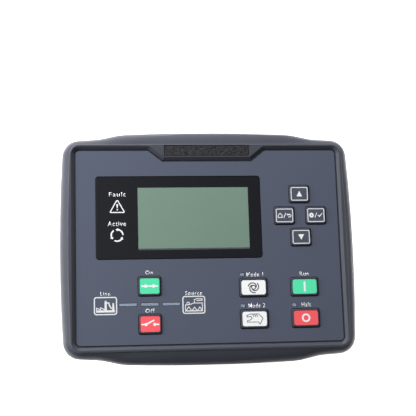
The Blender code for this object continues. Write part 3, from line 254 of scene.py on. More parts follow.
def reworked(node, name, edge, sharp=SHARP):
    """A welded copy of a CAD node, with its sharp edges rounded, standing in for the node."""
    source = frame["nodes"][node]
    piece = source.copy()
    piece.data = source.data.copy()
    piece.name = name
    piece.parent = None
    for key in list(piece.keys()):
        del piece[key]
    bpy.context.scene.collection.objects.link(piece)
    select_only(piece)
    bpy.ops.object.mode_set(mode="EDIT")
    bpy.ops.mesh.select_all(action="SELECT")
    bpy.ops.mesh.remove_doubles(threshold=WELD_DISTANCE)
    bpy.ops.mesh.dissolve_limited(angle_limit=FLAT_ANGLE)
    bpy.ops.object.mode_set(mode="OBJECT")
    rounded(piece, edge, sharp)
    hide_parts(node)
    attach(piece, source["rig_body"])
    return piece


def surface_grain():
    """The node group that every finish uses: a fine grain in height, colour and roughness."""
    group = bpy.data.node_groups.new("surface_grain", "ShaderNodeTree")
    sockets = (
        ("Colour", "NodeSocketColor", "INPUT"),
        ("Tone", "NodeSocketFloat", "INPUT"),
        ("Grain", "NodeSocketFloat", "INPUT"),
        ("Roughness", "NodeSocketFloat", "INPUT"),
        ("Unevenness", "NodeSocketFloat", "INPUT"),
        ("Colour", "NodeSocketColor", "OUTPUT"),
        ("Roughness", "NodeSocketFloat", "OUTPUT"),
        ("Height", "NodeSocketFloat", "OUTPUT"),
    )
    for name, kind, way in sockets:
        group.interface.new_socket(name=name, socket_type=kind, in_out=way)
    nodes, links = group.nodes, group.links
    entry, leave = nodes.new("NodeGroupInput"), nodes.new("NodeGroupOutput")
    where = nodes.new("ShaderNodeTexCoord")
    fine = nodes.new("ShaderNodeTexNoise")
    fine.inputs["Detail"].default_value = 3.0
    links.new(where.outputs["Object"], fine.inputs["Vector"])
    links.new(entry.outputs["Grain"], fine.inputs["Scale"])
    broad = nodes.new("ShaderNodeTexNoise")
    broad.inputs["Scale"].default_value = BROAD_SCALE
    links.new(where.outputs["Object"], broad.inputs["Vector"])
    both = nodes.new("ShaderNodeMix")
    both.inputs["Factor"].default_value = BROAD_SHARE
    links.new(fine.outputs["Fac"], both.inputs["A"])
    links.new(broad.outputs["Fac"], both.inputs["B"])
    centred = nodes.new("ShaderNodeMapRange")
    centred.inputs["From Min"].default_value = NOISE_LOW
    centred.inputs["From Max"].default_value = NOISE_HIGH
    centred.inputs["To Min"].default_value = -0.5
    centred.inputs["To Max"].default_value = 0.5
    links.new(both.outputs["Result"], centred.inputs["Value"])
    change = nodes.new("ShaderNodeMath")
    change.operation = "MULTIPLY_ADD"
    change.inputs[2].default_value = 1.0
    links.new(centred.outputs["Result"], change.inputs[0])
    links.new(entry.outputs["Tone"], change.inputs[1])
    tinted = nodes.new("ShaderNodeVectorMath")
    tinted.operation = "SCALE"
    links.new(entry.outputs["Colour"], tinted.inputs[0])
    links.new(change.outputs["Value"], tinted.inputs["Scale"])
    links.new(tinted.outputs["Vector"], leave.inputs["Colour"])
    sheen = nodes.new("ShaderNodeMath")
    sheen.operation = "MULTIPLY_ADD"
    links.new(centred.outputs["Result"], sheen.inputs[0])
    links.new(entry.outputs["Unevenness"], sheen.inputs[1])
    links.new(entry.outputs["Roughness"], sheen.inputs[2])
    links.new(sheen.outputs["Value"], leave.inputs["Roughness"])
    links.new(fine.outputs["Fac"], leave.inputs["Height"])
    return group


GRAIN = surface_grain()


def finish(name, colour, roughness, tone=0.10, grain=2600.0, depth=0.00001, unevenness=0.12, **extra):
    """A finish whose colour, roughness and height carry the grain; extra sets the shader's own sockets."""
    material = bpy.data.materials.new(name)
    material.use_nodes = True
    shader = material.node_tree.nodes["Principled BSDF"]
    skin = add_node(material, "ShaderNodeGroup", node_tree=GRAIN)
    skin.inputs["Colour"].default_value = (*colour, 1.0)
    skin.inputs["Tone"].default_value = tone
    skin.inputs["Grain"].default_value = grain
    skin.inputs["Roughness"].default_value = roughness
    skin.inputs["Unevenness"].default_value = unevenness
    bump = add_node(material, "ShaderNodeBump")
    bump.inputs["Distance"].default_value = depth
    wire(material, skin.outputs["Colour"], shader.inputs["Base Color"])
    wire(material, skin.outputs["Roughness"], shader.inputs["Roughness"])
    wire(material, skin.outputs["Height"], bump.inputs["Height"])
    wire(material, bump.outputs["Normal"], shader.inputs["Normal"])
    for socket, value in extra.items():
        shader.inputs[socket.replace("_", " ")].default_value = value
    return material


def coat(piece, material):
    """Gives a piece its finish, in place of the materials it had."""
    piece.data.materials.clear()
    piece.data.materials.append(material)


frame_plastic = finish("frame_plastic_grain", (0.058, 0.062, 0.080), 0.38, grain=3200.0, depth=0.000012)
front_frame = reworked("front_frame", "front_frame_moulding", FRAME_EDGE, FRAME_SHARP)
coat(front_frame, frame_plastic)

# Name strip
# A black film with a coarse pebbled texture, glued into the tab above the panel. It is left bare.
STRIP_EDGE = 0.00012
PEBBLE_SIZE = 0.0009
PEBBLE_INNER = 0.15
PEBBLE_OUTER = 0.70
PEBBLE_PAINTED_HIGHLIGHT = 2.1
PEBBLE_PAINTED_SHADE = 0.1


def skin_of(material):
    """The grain inside a finish, whose colour a pattern can take up and pass on changed."""
    return next(node for node in material.node_tree.nodes if node.type == "GROUP")


strip_film = finish(
    "strip_film", (0.033, 0.033, 0.037), 0.42, tone=0.6, grain=1100.0, depth=0.00012, unevenness=0.3
)
# Painted highlight and shade: each pebble's middle is painted about twice as light as the film and its rim
# nearly black, as the light on the pebbled texture.
pebbles = add_node(strip_film, "ShaderNodeTexVoronoi", feature="F1")
pebbles.inputs["Scale"].default_value = 1.0 / PEBBLE_SIZE
pebble_place = add_node(strip_film, "ShaderNodeTexCoord")
wire(strip_film, pebble_place.outputs["Object"], pebbles.inputs["Vector"])
pebble_painted_light = add_node(strip_film, "ShaderNodeMapRange")
pebble_painted_light.inputs["From Min"].default_value = PEBBLE_INNER
pebble_painted_light.inputs["From Max"].default_value = PEBBLE_OUTER
pebble_painted_light.inputs["To Min"].default_value = PEBBLE_PAINTED_HIGHLIGHT
pebble_painted_light.inputs["To Max"].default_value = PEBBLE_PAINTED_SHADE
wire(strip_film, pebbles.outputs["Distance"], pebble_painted_light.inputs["Value"])
pebbled = add_node(strip_film, "ShaderNodeVectorMath", operation="SCALE")
strip_shader = strip_film.node_tree.nodes["Principled BSDF"]
wire(strip_film, skin_of(strip_film).outputs["Colour"], pebbled.inputs["Vector"])
wire(strip_film, pebble_painted_light.outputs["Result"], pebbled.inputs["Scale"])
wire(strip_film, pebbled.outputs["Vector"], strip_shader.inputs["Base Color"])
name_strip = reworked("name_insert", "name_strip", STRIP_EDGE)
coat(name_strip, strip_film)

# Face panel
# A blue-grey polyester film on a stiff backing, punched for the screen, keys and lights. Its rounded
# edges and the walls of its holes are painted near black, as painted shade in the gaps round the panel and
# its openings.
PANEL_COLOUR = (0.083, 0.098, 0.141)
PANEL_EDGE = 0.00018
EDGE_SLOPE = 0.97
panel_film = finish(
    "panel_satin_film", PANEL_COLOUR, 0.42, tone=0.05, grain=5200.0, depth=0.000006, unevenness=0.06
)
face_panel = reworked("face_panel", "face_panel_film", PANEL_EDGE)
coat(face_panel, panel_film)
# Painted shade: every face of the panel that isn't flat gets this near-black finish, to darken the gaps
# round the panel and its openings.
panel_edge_shade = finish("panel_edge_painted_shade", (0.010, 0.010, 0.013), 0.60, tone=0.05, grain=3000.0, depth=0.000004)
face_panel.data.materials.append(panel_edge_shade)
for face in face_panel.data.polygons:
    face.material_index = int(abs(face.normal.z) < EDGE_SLOPE)
PANEL_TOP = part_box("face_panel")[1].z

# Screen
# A gloss lens printed black on its back, with a clear field over the display. The field shows a
# grey-green reflective display, not lit, with its faint grid of dots.
LENS_EDGE = 0.00010
PANE_EDGE = 0.00005
BEZEL_BORDER = 0.0041
VIEW_LOWER = 0.00075
VIEW_TRIM = 0.00045
VIEW_SINK = 0.00030
VIEW_GAP = 0.00004
VIEW_SLOT = 0.00008
FOOT_STRIP = 0.00105
DOT_PITCH = 0.00033
DOT_GAP = 0.09
DOT_BLUR = 0.3
DOT_TONE = (0.97, 0.97, 0.97, 1.0)
CUT_PAST = 0.001

lens_black = finish(
    "lens_black", (0.0060, 0.0066, 0.0100), 0.16, tone=0.04, grain=60.0, depth=0.0, unevenness=0.04
)
lens = reworked("screen_window", "screen_lens", 0.0)
coat(lens, lens_black)
bezel_low, bezel_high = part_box("lcd_bezel")
LENS_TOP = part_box("screen_window")[1].z
view_low = Vector((
    bezel_low.x + BEZEL_BORDER,
    bezel_low.y + BEZEL_BORDER - VIEW_LOWER,
    LENS_TOP - VIEW_SINK,
))
view_high = Vector((
    bezel_high.x - BEZEL_BORDER - VIEW_TRIM,
    bezel_high.y - BEZEL_BORDER - VIEW_TRIM,
    LENS_TOP + CUT_PAST,
))


def block(name, low, high):
    """A box between two corners, with its place in its mesh."""
    centre = (Vector(low) + Vector(high)) / 2
    bpy.ops.object.select_all(action="DESELECT")
    bpy.ops.mesh.primitive_cube_add(size=1.0, location=centre)
    piece = bpy.context.object
    piece.name = name
    piece.scale = Vector(high) - Vector(low)
    bpy.ops.object.transform_apply(location=True, rotation=True, scale=True)
    return piece


def combine(piece, other, operation):
    """Unites another closed shape with a piece, or cuts it out, and removes the other shape."""
    select_only(piece)
    step = piece.modifiers.new("combine", "BOOLEAN")
    step.object = other
    step.operation = operation
    step.solver = "EXACT"
    bpy.ops.object.modifier_apply(modifier=step.name)
    bpy.data.objects.remove(other, do_unlink=True)


def pane(name, low_y, high_y):
    """A flat pane in the lens opening, clear of the walls, between two heights on the face."""
    piece = block(
        name,
        (view_low.x + VIEW_GAP, low_y + VIEW_GAP, view_low.z + VIEW_GAP),
        (view_high.x - VIEW_GAP, high_y - VIEW_GAP, LENS_TOP - VIEW_SLOT),
    )
    rounded(piece, PANE_EDGE)
    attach(piece, "case")
    return piece


combine(lens, block("view_cutter", view_low, view_high), "DIFFERENCE")
rounded(lens, LENS_EDGE)

view_pane = pane("display_view", view_low.y + FOOT_STRIP, view_high.y)
display_green = finish(
    "display_green", (0.174, 0.266, 0.212), 0.30, tone=0.03, grain=40.0, depth=0.0, unevenness=0.05
)
dots = add_node(display_green, "ShaderNodeTexBrick", offset=0.0, squash=1.0)
dots.inputs["Scale"].default_value = 1.0 / DOT_PITCH
dots.inputs["Brick Width"].default_value = 1.0
dots.inputs["Row Height"].default_value = 1.0
dots.inputs["Mortar Size"].default_value = DOT_GAP
dots.inputs["Mortar Smooth"].default_value = DOT_BLUR
dots.inputs["Color1"].default_value = DOT_TONE
dots.inputs["Color2"].default_value = DOT_TONE
dots.inputs["Mortar"].default_value = (1.0, 1.0, 1.0, 1.0)
dot_place = add_node(display_green, "ShaderNodeTexCoord")
wire(display_green, dot_place.outputs["Object"], dots.inputs["Vector"])
dotted = add_node(display_green, "ShaderNodeMix", data_type="RGBA", blend_type="MULTIPLY")
dotted.inputs["Factor"].default_value = 1.0
display_shader = display_green.node_tree.nodes["Principled BSDF"]
wire(display_green, skin_of(display_green).outputs["Colour"], dotted.inputs["A"])
wire(display_green, dots.outputs["Color"], dotted.inputs["B"])
wire(display_green, dotted.outputs["Result"], display_shader.inputs["Base Color"])
coat(view_pane, display_green)
foot_strip = pane("display_foot", view_low.y, view_low.y + FOOT_STRIP)
foot_grey = finish("display_foot_grey", (0.070, 0.072, 0.095), 0.35, tone=0.05, grain=60.0, depth=0.0)
coat(foot_strip, foot_grey)

# Keys
# Silicone keys whose caps come through the panel. The cap's flank is dark, and its top carries a
# printed field in its own colour.
KEY_EDGE = 0.00016
PRINT_SINK = 0.00004
PRINT_RISE = 0.00004
PRINT_WELD = 0.000001
PAD_RISE = 0.00006
SYMBOL_RISE = PAD_RISE + PRINT_RISE
NAV_PAD = (0.0124, 0.0099, 0.0011)
BREAKER_PAD = (0.01345, 0.01065, 0.0012)
MODE_PAD = (0.01705, 0.0101, 0.0016)
LINE_WIDTH = 0.00066
LEAST_CORNER = 0.3
CORNER_STEPS = 5
MITRE_LIMIT = 0.4
LOOP_MITRE_LIMIT = 0.5
TRIANGLE_HALF = 0.0021
TRIANGLE_SQUAT = 0.9
SWITCH_LINE = 0.0010
CLOSED_CONTACT = 0.0012
OPEN_CONTACT = 0.0011
START_BAR = (0.0014, 0.0070, 0.0004)
STOP_RING = (0.0030, 0.0018)
SWIRL_RING = (0.0018, 0.00105)
SWIRL_STARTS = (170, 50, -70)
SWIRL_STEPS = 16
SWIRL_SWEEP = 175
SWIRL_OUTER = 0.0039
SWIRL_INWARD = 0.0023
SWIRL_CURL = 1.3
SWIRL_LINE = 0.00078
HAND_LINE = 0.00050
FINGER_LINE = 0.00052
SMALL_LINE = 0.0005
TICK_LINE = 0.0006
WHEEL_CENTRE = (-0.0032, 0.0)
WHEEL_TIP = 0.0019
WHEEL_ROOT = 0.0015
WHEEL_POINTS = 32

key_dark = finish("key_dark_rubber", (0.041, 0.045, 0.061), 0.55, tone=0.08, grain=3000.0, depth=0.00001)
# The close key's green is the start key's green painted about 8% darker: painted shade against the stronger
# light that falls on it at the left.
pad_green_shaded = finish("pad_green_shaded", (0.098, 0.760, 0.425), 0.50, tone=0.04, grain=2400.0)
pad_green = finish("pad_green", (0.104, 0.825, 0.452), 0.50, tone=0.04, grain=2400.0)
pad_red = finish("pad_red", (0.985, 0.118, 0.138), 0.50, tone=0.04, grain=2400.0)
pad_white = finish("pad_white", (0.975, 0.980, 0.990), 0.50, tone=0.02, grain=2400.0)
pad_panel = finish("pad_panel", (0.071, 0.084, 0.121), 0.48, tone=0.05, grain=4200.0, depth=0.000008)
print_white = finish("print_white", (0.900, 0.905, 0.920), 0.50, tone=0.05, grain=1800.0, depth=0.000004)
print_grey = finish("print_grey", (0.760, 0.770, 0.790), 0.50, tone=0.06, grain=1800.0, depth=0.000004)
print_dark = finish("print_dark", (0.100, 0.108, 0.130), 0.50, tone=0.06, grain=1800.0, depth=0.000004)


def arc(centre, radius, start, end, steps):
    """Points on a circle between two angles in degrees."""
    turns = [math.radians(start + (end - start) * step / steps) for step in range(steps + 1)]
    return [(centre[0] + radius * math.cos(turn), centre[1] + radius * math.sin(turn)) for turn in turns]


def field(width, height, corner):
    """The outline of a rectangle with round corners."""
    half_w, half_h = width / 2 - corner, height / 2 - corner
    outline = []
    for sign_x, sign_y, start in ((1, -1, -90), (1, 1, 0), (-1, 1, 90), (-1, -1, 180)):
        hub = (sign_x * half_w, sign_y * half_h)
        outline += arc(hub, corner, start, start + 90, CORNER_STEPS)
    return outline


def hoop(width, height, corner, line):
    """Two outlines that leave a line round a rectangle, inside its width and height."""
    return [
        field(width, height, corner),
        field(width - 2 * line, height - 2 * line, max(corner - line, corner * LEAST_CORNER)),
    ]


def disc(radius, centre=(0.0, 0.0), steps=20):
    """The outline of a round spot."""
    return arc(centre, radius, 0, 360, steps)[:-1]


def stroke(points, width):
    """The outline of a line through the points, with mitred turns and square ends."""
    left, right = [], []
    last = len(points) - 1
    for index, (x, y) in enumerate(points):
        before = points[max(index - 1, 0)]
        after = points[min(index + 1, last)]
        into = Vector((x - before[0], y - before[1]))
        out = Vector((after[0] - x, after[1] - y))
        into = into.normalized() if into.length else out.normalized()
        out = out.normalized() if out.length else into
        along = (into + out).normalized()
        side = Vector((-along.y, along.x)) * (width / 2 / max(along.dot(out), MITRE_LIMIT))
        left.append((x + side.x, y + side.y))
        right.append((x - side.x, y - side.y))
    return left + right[::-1]


def loop(points, width):
    """Two outlines that leave a line along a closed course of points."""
    outer, inner = [], []
    for index, point in enumerate(points):
        here = Vector(point)
        into = (here - Vector(points[index - 1])).normalized()
        out = (Vector(points[(index + 1) % len(points)]) - here).normalized()
        along = (into + out).normalized()
        side = Vector((-along.y, along.x)) * (width / 2 / max(along.dot(out), LOOP_MITRE_LIMIT))
        outer.append((here.x + side.x, here.y + side.y))
        inner.append((here.x - side.x, here.y - side.y))
    return [outer, inner]


def as_mesh(mark):
    """Turns a flat curve into a welded mesh, with its place in it."""
    select_only(mark)
    bpy.ops.object.convert(target="MESH")
    mark = bpy.context.object
    bpy.ops.object.transform_apply(location=True, rotation=True, scale=True)
    bpy.ops.object.mode_set(mode="EDIT")
    bpy.ops.mesh.select_all(action="SELECT")
    bpy.ops.mesh.remove_doubles(threshold=PRINT_WELD)
    bpy.ops.mesh.normals_make_consistent(inside=False)
    bpy.ops.object.mode_set(mode="OBJECT")
    return mark


def flat_mark(name, outlines, low, high, centre):
    """A printed mark as a thin solid: each outline inside another one leaves a hole."""
    curve = bpy.data.curves.new(name, "CURVE")
    curve.dimensions = "2D"
    curve.fill_mode = "BOTH"
    curve.extrude = (high - low) / 2
    for outline in outlines:
        spline = curve.splines.new("POLY")
        spline.points.add(len(outline) - 1)
        for point, (x, y) in zip(spline.points, outline):
            point.co = (x, y, 0.0, 1.0)
        spline.use_cyclic_u = True
    mark = bpy.data.objects.new(name, curve)
    bpy.context.scene.collection.objects.link(mark)
    mark.location = (centre[0], centre[1], (low + high) / 2)
    return as_mesh(mark)


def print_on(name, groups, top, centre, body, material, rise=PRINT_RISE):
    """Prints a mark on a top face, from one or more groups of outlines that become one solid."""
    marks = [flat_mark(name, outlines, top - PRINT_SINK, top + rise, centre) for outlines in groups]
    mark = marks[0]
    for other in marks[1:]:
        combine(mark, other, "UNION")
    mark.name = name
    coat(mark, material)
    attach(mark, body)


def triangle(way):
    """A triangle that points up or down."""
    tip = way * TRIANGLE_HALF
    base = -way * TRIANGLE_HALF * TRIANGLE_SQUAT
    corners = [(-TRIANGLE_HALF, base), (TRIANGLE_HALF, base), (0.0, tip)]
    return [[corners if way > 0 else corners[::-1]]]


def close_symbol():
    """A closed switch: a line through two contacts."""
    line = stroke([(-0.0058, 0.0), (0.0058, 0.0)], SWITCH_LINE)
    return [[line], [disc(CLOSED_CONTACT, (-0.0027, 0.0))], [disc(CLOSED_CONTACT, (0.0027, 0.0))]]


def open_symbol():
    """An open switch: its blade stands up from one of two contacts."""
    low = -0.0002
    left = stroke([(-0.0061, low), (-0.0028, low)], SWITCH_LINE)
    blade = stroke([(-0.0030, low), (0.0027, 0.0027)], SWITCH_LINE)
    right = stroke([(0.0034, low), (0.0062, low)], SWITCH_LINE)
    spots = [disc(OPEN_CONTACT, (x, low)) for x in (-0.0029, 0.0031)]
    return [[part] for part in (left, blade, right, *spots)]


def bar_symbol():
    """The bar that means start."""
    return [[field(*START_BAR)]]


def ring_symbol():
    """The ring that means stop."""
    return [[disc(radius, steps=32) for radius in STOP_RING]]


def swirl_symbol():
    """Three arms that wind into a small ring, for the mode that runs by itself."""
    groups = [[disc(radius, steps=28) for radius in SWIRL_RING]]
    for turn in SWIRL_STARTS:
        arm = []
        for step in range(SWIRL_STEPS + 1):
            share = step / SWIRL_STEPS
            angle = math.radians(turn - SWIRL_SWEEP * share)
            radius = SWIRL_OUTER - SWIRL_INWARD * share ** SWIRL_CURL
            arm.append((radius * math.cos(angle), radius * math.sin(angle)))
        groups.append([stroke(arm, SWIRL_LINE)])
    return groups


def hand_symbol():
    """The line drawing of a flat hand in a cuff, for the mode that is worked by hand."""
    palm = [
        (-0.0052, -0.0022), (0.0024, -0.0022), (0.0037, -0.0037), (0.0058, 0.0003), (0.0028, 0.0034),
        (-0.0030, 0.0034), (-0.0056, 0.0022), (-0.0052, 0.0013), (-0.0026, 0.0017), (-0.0018, 0.0006),
        (-0.0030, -0.0006), (-0.0052, -0.0012),
    ]
    groups = [loop(palm, HAND_LINE)]
    for x in (-0.0014, -0.0001, 0.0012):
        groups.append([stroke([(x, 0.0035), (x + 0.0009, 0.0014)], FINGER_LINE)])
    return groups


def home_symbol():
    """A small house, a slash and an arrow that turns back."""
    eaves = 0.0002
    house = [(-0.0045, -0.0015), (-0.0045, eaves), (-0.0031, 0.0016), (-0.0017, eaves), (-0.0017, -0.0015)]
    slash = stroke([(-0.0005, -0.0018), (0.0010, 0.0018)], SMALL_LINE)
    turn = arc((0.0038, -0.0003), 0.0009, 90, -90, 6)
    back = stroke([(0.0024, 0.0006), (0.0038, 0.0006), *turn, (0.0028, -0.0012)], SMALL_LINE)
    head = [(0.0026, 0.0015), (0.0026, -0.0003), (0.0015, 0.0006)]
    return [loop(house, SMALL_LINE), [slash], [back], [head]]


def set_symbol():
    """A toothed wheel, a slash and a tick."""
    wheel = []
    for step in range(WHEEL_POINTS):
        radius = WHEEL_TIP if step % 4 < 2 else WHEEL_ROOT
        turn = 2 * math.pi * step / WHEEL_POINTS
        wheel.append((WHEEL_CENTRE[0] + radius * math.cos(turn), radius * math.sin(turn)))
    slash = stroke([(-0.0008, -0.0018), (0.0007, 0.0018)], SMALL_LINE)
    tick = stroke([(0.0016, 0.0001), (0.0025, -0.0010), (0.0045, 0.0013)], TICK_LINE)
    return [[wheel, disc(0.0005, WHEEL_CENTRE, 12)], [slash], [tick]]


KEYS = (
    ("up", NAV_PAD, pad_panel, "key_dark", triangle(1), print_white),
    ("down", NAV_PAD, pad_panel, "key_dark", triangle(-1), print_white),
    ("home", NAV_PAD, pad_panel, "key_dark", home_symbol(), print_white),
    ("set", NAV_PAD, pad_panel, "key_dark", set_symbol(), print_white),
    ("close", BREAKER_PAD, pad_green_shaded, "key_green", close_symbol(), print_white),
    ("open", BREAKER_PAD, pad_red, "key_red", open_symbol(), print_white),
    ("auto", MODE_PAD, pad_white, "key_white", swirl_symbol(), print_dark),
    ("manual", MODE_PAD, pad_white, "key_white", hand_symbol(), print_dark),
    ("start", MODE_PAD, pad_green, "key_green", bar_symbol(), print_white),
    ("stop", MODE_PAD, pad_red, "key_red", ring_symbol(), print_white),
)
for key, pad, pad_finish, slot, symbol, ink in KEYS:
    low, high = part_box("key_" + key)
    centre = ((low.x + high.x) / 2, (low.y + high.y) / 2)
    cap = reworked("key_" + key, f"key_{key}_cap", KEY_EDGE)
    coat(cap, key_dark)
    body = key + "_key"
    plate = [[field(*pad)]]
    print_on(f"key_{key}_field", plate, high.z, centre, body, pad_finish, PAD_RISE)
    if pad == NAV_PAD:
        outline = [hoop(*pad, LINE_WIDTH)]
        print_on(f"key_{key}_outline", outline, high.z, centre, body, print_grey, SYMBOL_RISE)
    print_on(f"key_{key}_symbol", symbol, high.z, centre, body, ink, SYMBOL_RISE)

# Light windows
# Small clear bars of tinted acrylic, not lit. Each sits in its own slot of the panel, flush with the
# face: one beside a word, and three in the line between the two framed signs.
GUIDE_EDGE = 0.00008
guide_tint = finish(
    "guide_tint", (0.285, 0.345, 0.440), 0.28, tone=0.10, grain=1500.0, depth=0.000004,
    Transmission_Weight=0.15,
)
for place in ("auto", "manual", "stop", "bar_left", "bar_middle", "bar_right"):
    guide = reworked(f"light_{place}", f"light_{place}_guide", GUIDE_EDGE)
    coat(guide, guide_tint)

# Printing on the panel and the lens
# White and light grey screen print: plain words over the keys, warning and state signs beside the
# display, and framed pictures of a consumer and a generator joined by the light bars.
WORD_WEIGHT = 0.004
LETTER_SPACE = 1.16
WARNING_CENTRE = (-0.06425, 0.0272)
WARNING_CORNER = 0.0008
WARNING_INNER_CORNER = 0.0003
STATE_CENTRE = (-0.0646, 0.0079)
STATE_RADIUS = 0.0041
STATE_LINE = 0.00100
STATE_STARTS = (84, 204, 324)
STATE_SWEEP = 80
ARROW_HALF = 0.0012
ARROW_BACK = 3
ARROW_REACH = 20
CONSUMER_CENTRE = (-0.0732, -0.0413)
GENERATOR_CENTRE = (-0.01205, -0.0416)
SIGN_FIELD = (0.0160, 0.0125, 0.0018)
SIGN_LINE = 0.0008
GROUND_LINE = 0.0015
ROOF_LINE = 0.0006
PIPE_LINE = 0.0009
BASE_LINE = 0.0008
SET_LINE = 0.0006
SET_RING = (0.0012, 0.0006)
WORDS = (
    ("fault_word", "Fault", (-0.0699, -0.0582), (0.0355, 0.0386)),
    ("active_word", "Active", (-0.0710, -0.0582), (0.0144, 0.0178)),
    ("on_word", "On", (-0.0453, -0.0400), (-0.0199, -0.0173)),
    ("off_word", "Off", (-0.0457, -0.0393), (-0.0466, -0.0438)),
    ("line_word", "Line", (-0.0766, -0.0700), (-0.0342, -0.0315)),
    ("source_word", "Source", (-0.0178, -0.0060), (-0.0349, -0.0321)),
    ("mode_one_word", "Mode 1", (0.0257, 0.0374), (-0.0226, -0.0196)),
    ("mode_two_word", "Mode 2", (0.0264, 0.0381), (-0.0444, -0.0414)),
    ("run_word", "Run", (0.0637, 0.0702), (-0.0225, -0.0196)),
    ("halt_word", "Halt", (0.0640, 0.0706), (-0.0444, -0.0414)),
)


def word(name, text, across, up, top):
    """A printed word that fills a width and a height on the face."""
    bpy.ops.object.select_all(action="DESELECT")
    bpy.ops.object.text_add(location=(0.0, 0.0, 0.0))
    piece = bpy.context.object
    piece.data.body = text
    piece.data.size = 1.0
    piece.data.offset = WORD_WEIGHT
    piece.data.space_character = LETTER_SPACE
    bpy.ops.object.convert(target="MESH")
    piece = bpy.context.object
    piece.name = name
    xs = [vertex.co.x for vertex in piece.data.vertices]
    ys = [vertex.co.y for vertex in piece.data.vertices]
    scale_x = (across[1] - across[0]) / (max(xs) - min(xs))
    scale_y = (up[1] - up[0]) / (max(ys) - min(ys))
    piece.scale = (scale_x, scale_y, 1.0)
    piece.location = (across[0] - min(xs) * scale_x, up[0] - min(ys) * scale_y, top - PRINT_SINK)
    bpy.ops.object.transform_apply(location=True, rotation=True, scale=True)
    bpy.ops.object.mode_set(mode="EDIT")
    bpy.ops.mesh.select_all(action="SELECT")
    bpy.ops.mesh.remove_doubles(threshold=PRINT_WELD)
    thickness = (0.0, 0.0, PRINT_SINK + PRINT_RISE)
    bpy.ops.mesh.extrude_region_move(TRANSFORM_OT_translate={"value": thickness})
    bpy.ops.mesh.select_all(action="SELECT")
    bpy.ops.mesh.normals_make_consistent(inside=False)
    bpy.ops.object.mode_set(mode="OBJECT")
    coat(piece, print_white)
    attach(piece, "case")


for name, text, across, up in WORDS:
    word(name, text, across, up, LENS_TOP if text in ("Fault", "Active") else PANEL_TOP)


def blunted(corners, radius, steps=4):
    """A triangle with round corners: each corner gives way to an arc that touches both sides."""
    outline = []
    for index, corner in enumerate(corners):
        here = Vector(corner)
        to_last = (Vector(corners[index - 1]) - here).normalized()
        to_next = (Vector(corners[(index + 1) % len(corners)]) - here).normalized()
        half = to_last.angle(to_next) / 2
        hub = here + (to_last + to_next).normalized() * (radius / math.sin(half))
        start = here + to_last * (radius / math.tan(half)) - hub
        end = here + to_next * (radius / math.tan(half)) - hub
        sweep = math.atan2(start.x * end.y - start.y * end.x, start.dot(end))
        first = math.atan2(start.y, start.x)
        for step in range(steps + 1):
            turn = first + sweep * step / steps
            outline.append((hub.x + radius * math.cos(turn), hub.y + radius * math.sin(turn)))
    return outline


outer_edge = blunted([(-0.0058, -0.0034), (0.0058, -0.0034), (0.0, 0.0067)], WARNING_CORNER)
inner_edge = blunted([(-0.00458, -0.00270), (0.00458, -0.00270), (0.0, 0.0053)], WARNING_INNER_CORNER)
exclamation = [(-0.00060, 0.0029), (-0.00032, 0.0001), (0.00032, 0.0001), (0.00060, 0.0029)]
full_stop = disc(0.00050, (0.0, -0.0011), 12)
print_on(
    "warning_sign", [[outer_edge, inner_edge], [exclamation], [full_stop]],
    LENS_TOP, WARNING_CENTRE, "case", print_white,
)

state_arcs = []
for turn in STATE_STARTS:
    state_arcs.append([stroke(arc((0.0, 0.0), STATE_RADIUS, turn, turn - STATE_SWEEP, 10), STATE_LINE)])
    head = []
    for radius, angle in (
        (STATE_RADIUS + ARROW_HALF, turn - ARROW_BACK),
        (STATE_RADIUS - ARROW_HALF, turn - ARROW_BACK),
        (STATE_RADIUS, turn + ARROW_REACH),
    ):
        head.append((radius * math.cos(math.radians(angle)), radius * math.sin(math.radians(angle))))
    state_arcs.append([head])
print_on("state_sign", state_arcs, LENS_TOP, STATE_CENTRE, "case", print_white)

sign_border = hoop(*SIGN_FIELD, SIGN_LINE)
roofs = [(-0.0061, -0.0040), (-0.0061, -0.0014), (-0.0034, -0.0026), (-0.0034, -0.0012), (-0.0008, -0.0024)]
works = [
    stroke([(-0.0064, -0.0037), (0.0064, -0.0037)], GROUND_LINE),
    stroke(roofs, ROOF_LINE),
    [(-0.0008, -0.0040), (-0.0005, 0.0036), (0.0007, 0.0036), (0.0010, -0.0040)],
    stroke([(0.0007, 0.0021), (0.0022, 0.0021), (0.0030, -0.0004), (0.0041, -0.0020)], PIPE_LINE),
    [(0.0044, -0.0040), (0.0048, 0.0019), (0.0058, 0.0019), (0.0062, -0.0040)],
]
print_on(
    "consumer_sign", [sign_border] + [[part] for part in works],
    PANEL_TOP, CONSUMER_CENTRE, "case", print_grey,
)
hood = [(-0.0059, -0.0040), (-0.0059, 0.0000), (-0.0022, 0.0004), (0.0004, 0.0014), (0.0004, 0.0030)]
silencer = [(0.0000, 0.0034), (0.0020, 0.0042), (0.0058, 0.0042), (0.0058, 0.0030), (0.0018, 0.0030)]
set_parts = [
    stroke([(-0.0062, -0.0042), (0.0062, -0.0042)], BASE_LINE),
    stroke(hood, SET_LINE),
    stroke([(0.0004, 0.0012), (0.0059, 0.0012), (0.0059, -0.0040)], SET_LINE),
    stroke(silencer, SET_LINE),
    stroke([(-0.0054, -0.0038), (-0.0036, -0.0014), (-0.0018, -0.0038)], SET_LINE),
    stroke([(-0.0012, -0.0038), (0.0004, -0.0016), (0.0020, -0.0038)], SET_LINE),
    stroke([(0.0026, -0.0038), (0.0041, -0.0016), (0.0056, -0.0038)], SET_LINE),
]
set_ring = [disc(radius, (-0.0040, 0.0010), 16) for radius in SET_RING]
print_on(
    "generator_sign", [sign_border] + [[part] for part in set_parts] + [set_ring],
    PANEL_TOP, GENERATOR_CENTRE, "case", print_grey,
)

# Rear housing
# A black moulding with a finer grain than the frame, stepped in for the terminals at the top and
# the bottom, with slots for the panel clips in its sides.
HOUSING_EDGE = 0.0003
housing_plastic = finish(
    "housing_black_plastic", (0.014, 0.0144, 0.0162), 0.54, grain=2200.0, depth=0.00002
)
housing = reworked("rear_housing", "rear_housing_moulding", HOUSING_EDGE)
coat(housing, housing_plastic)

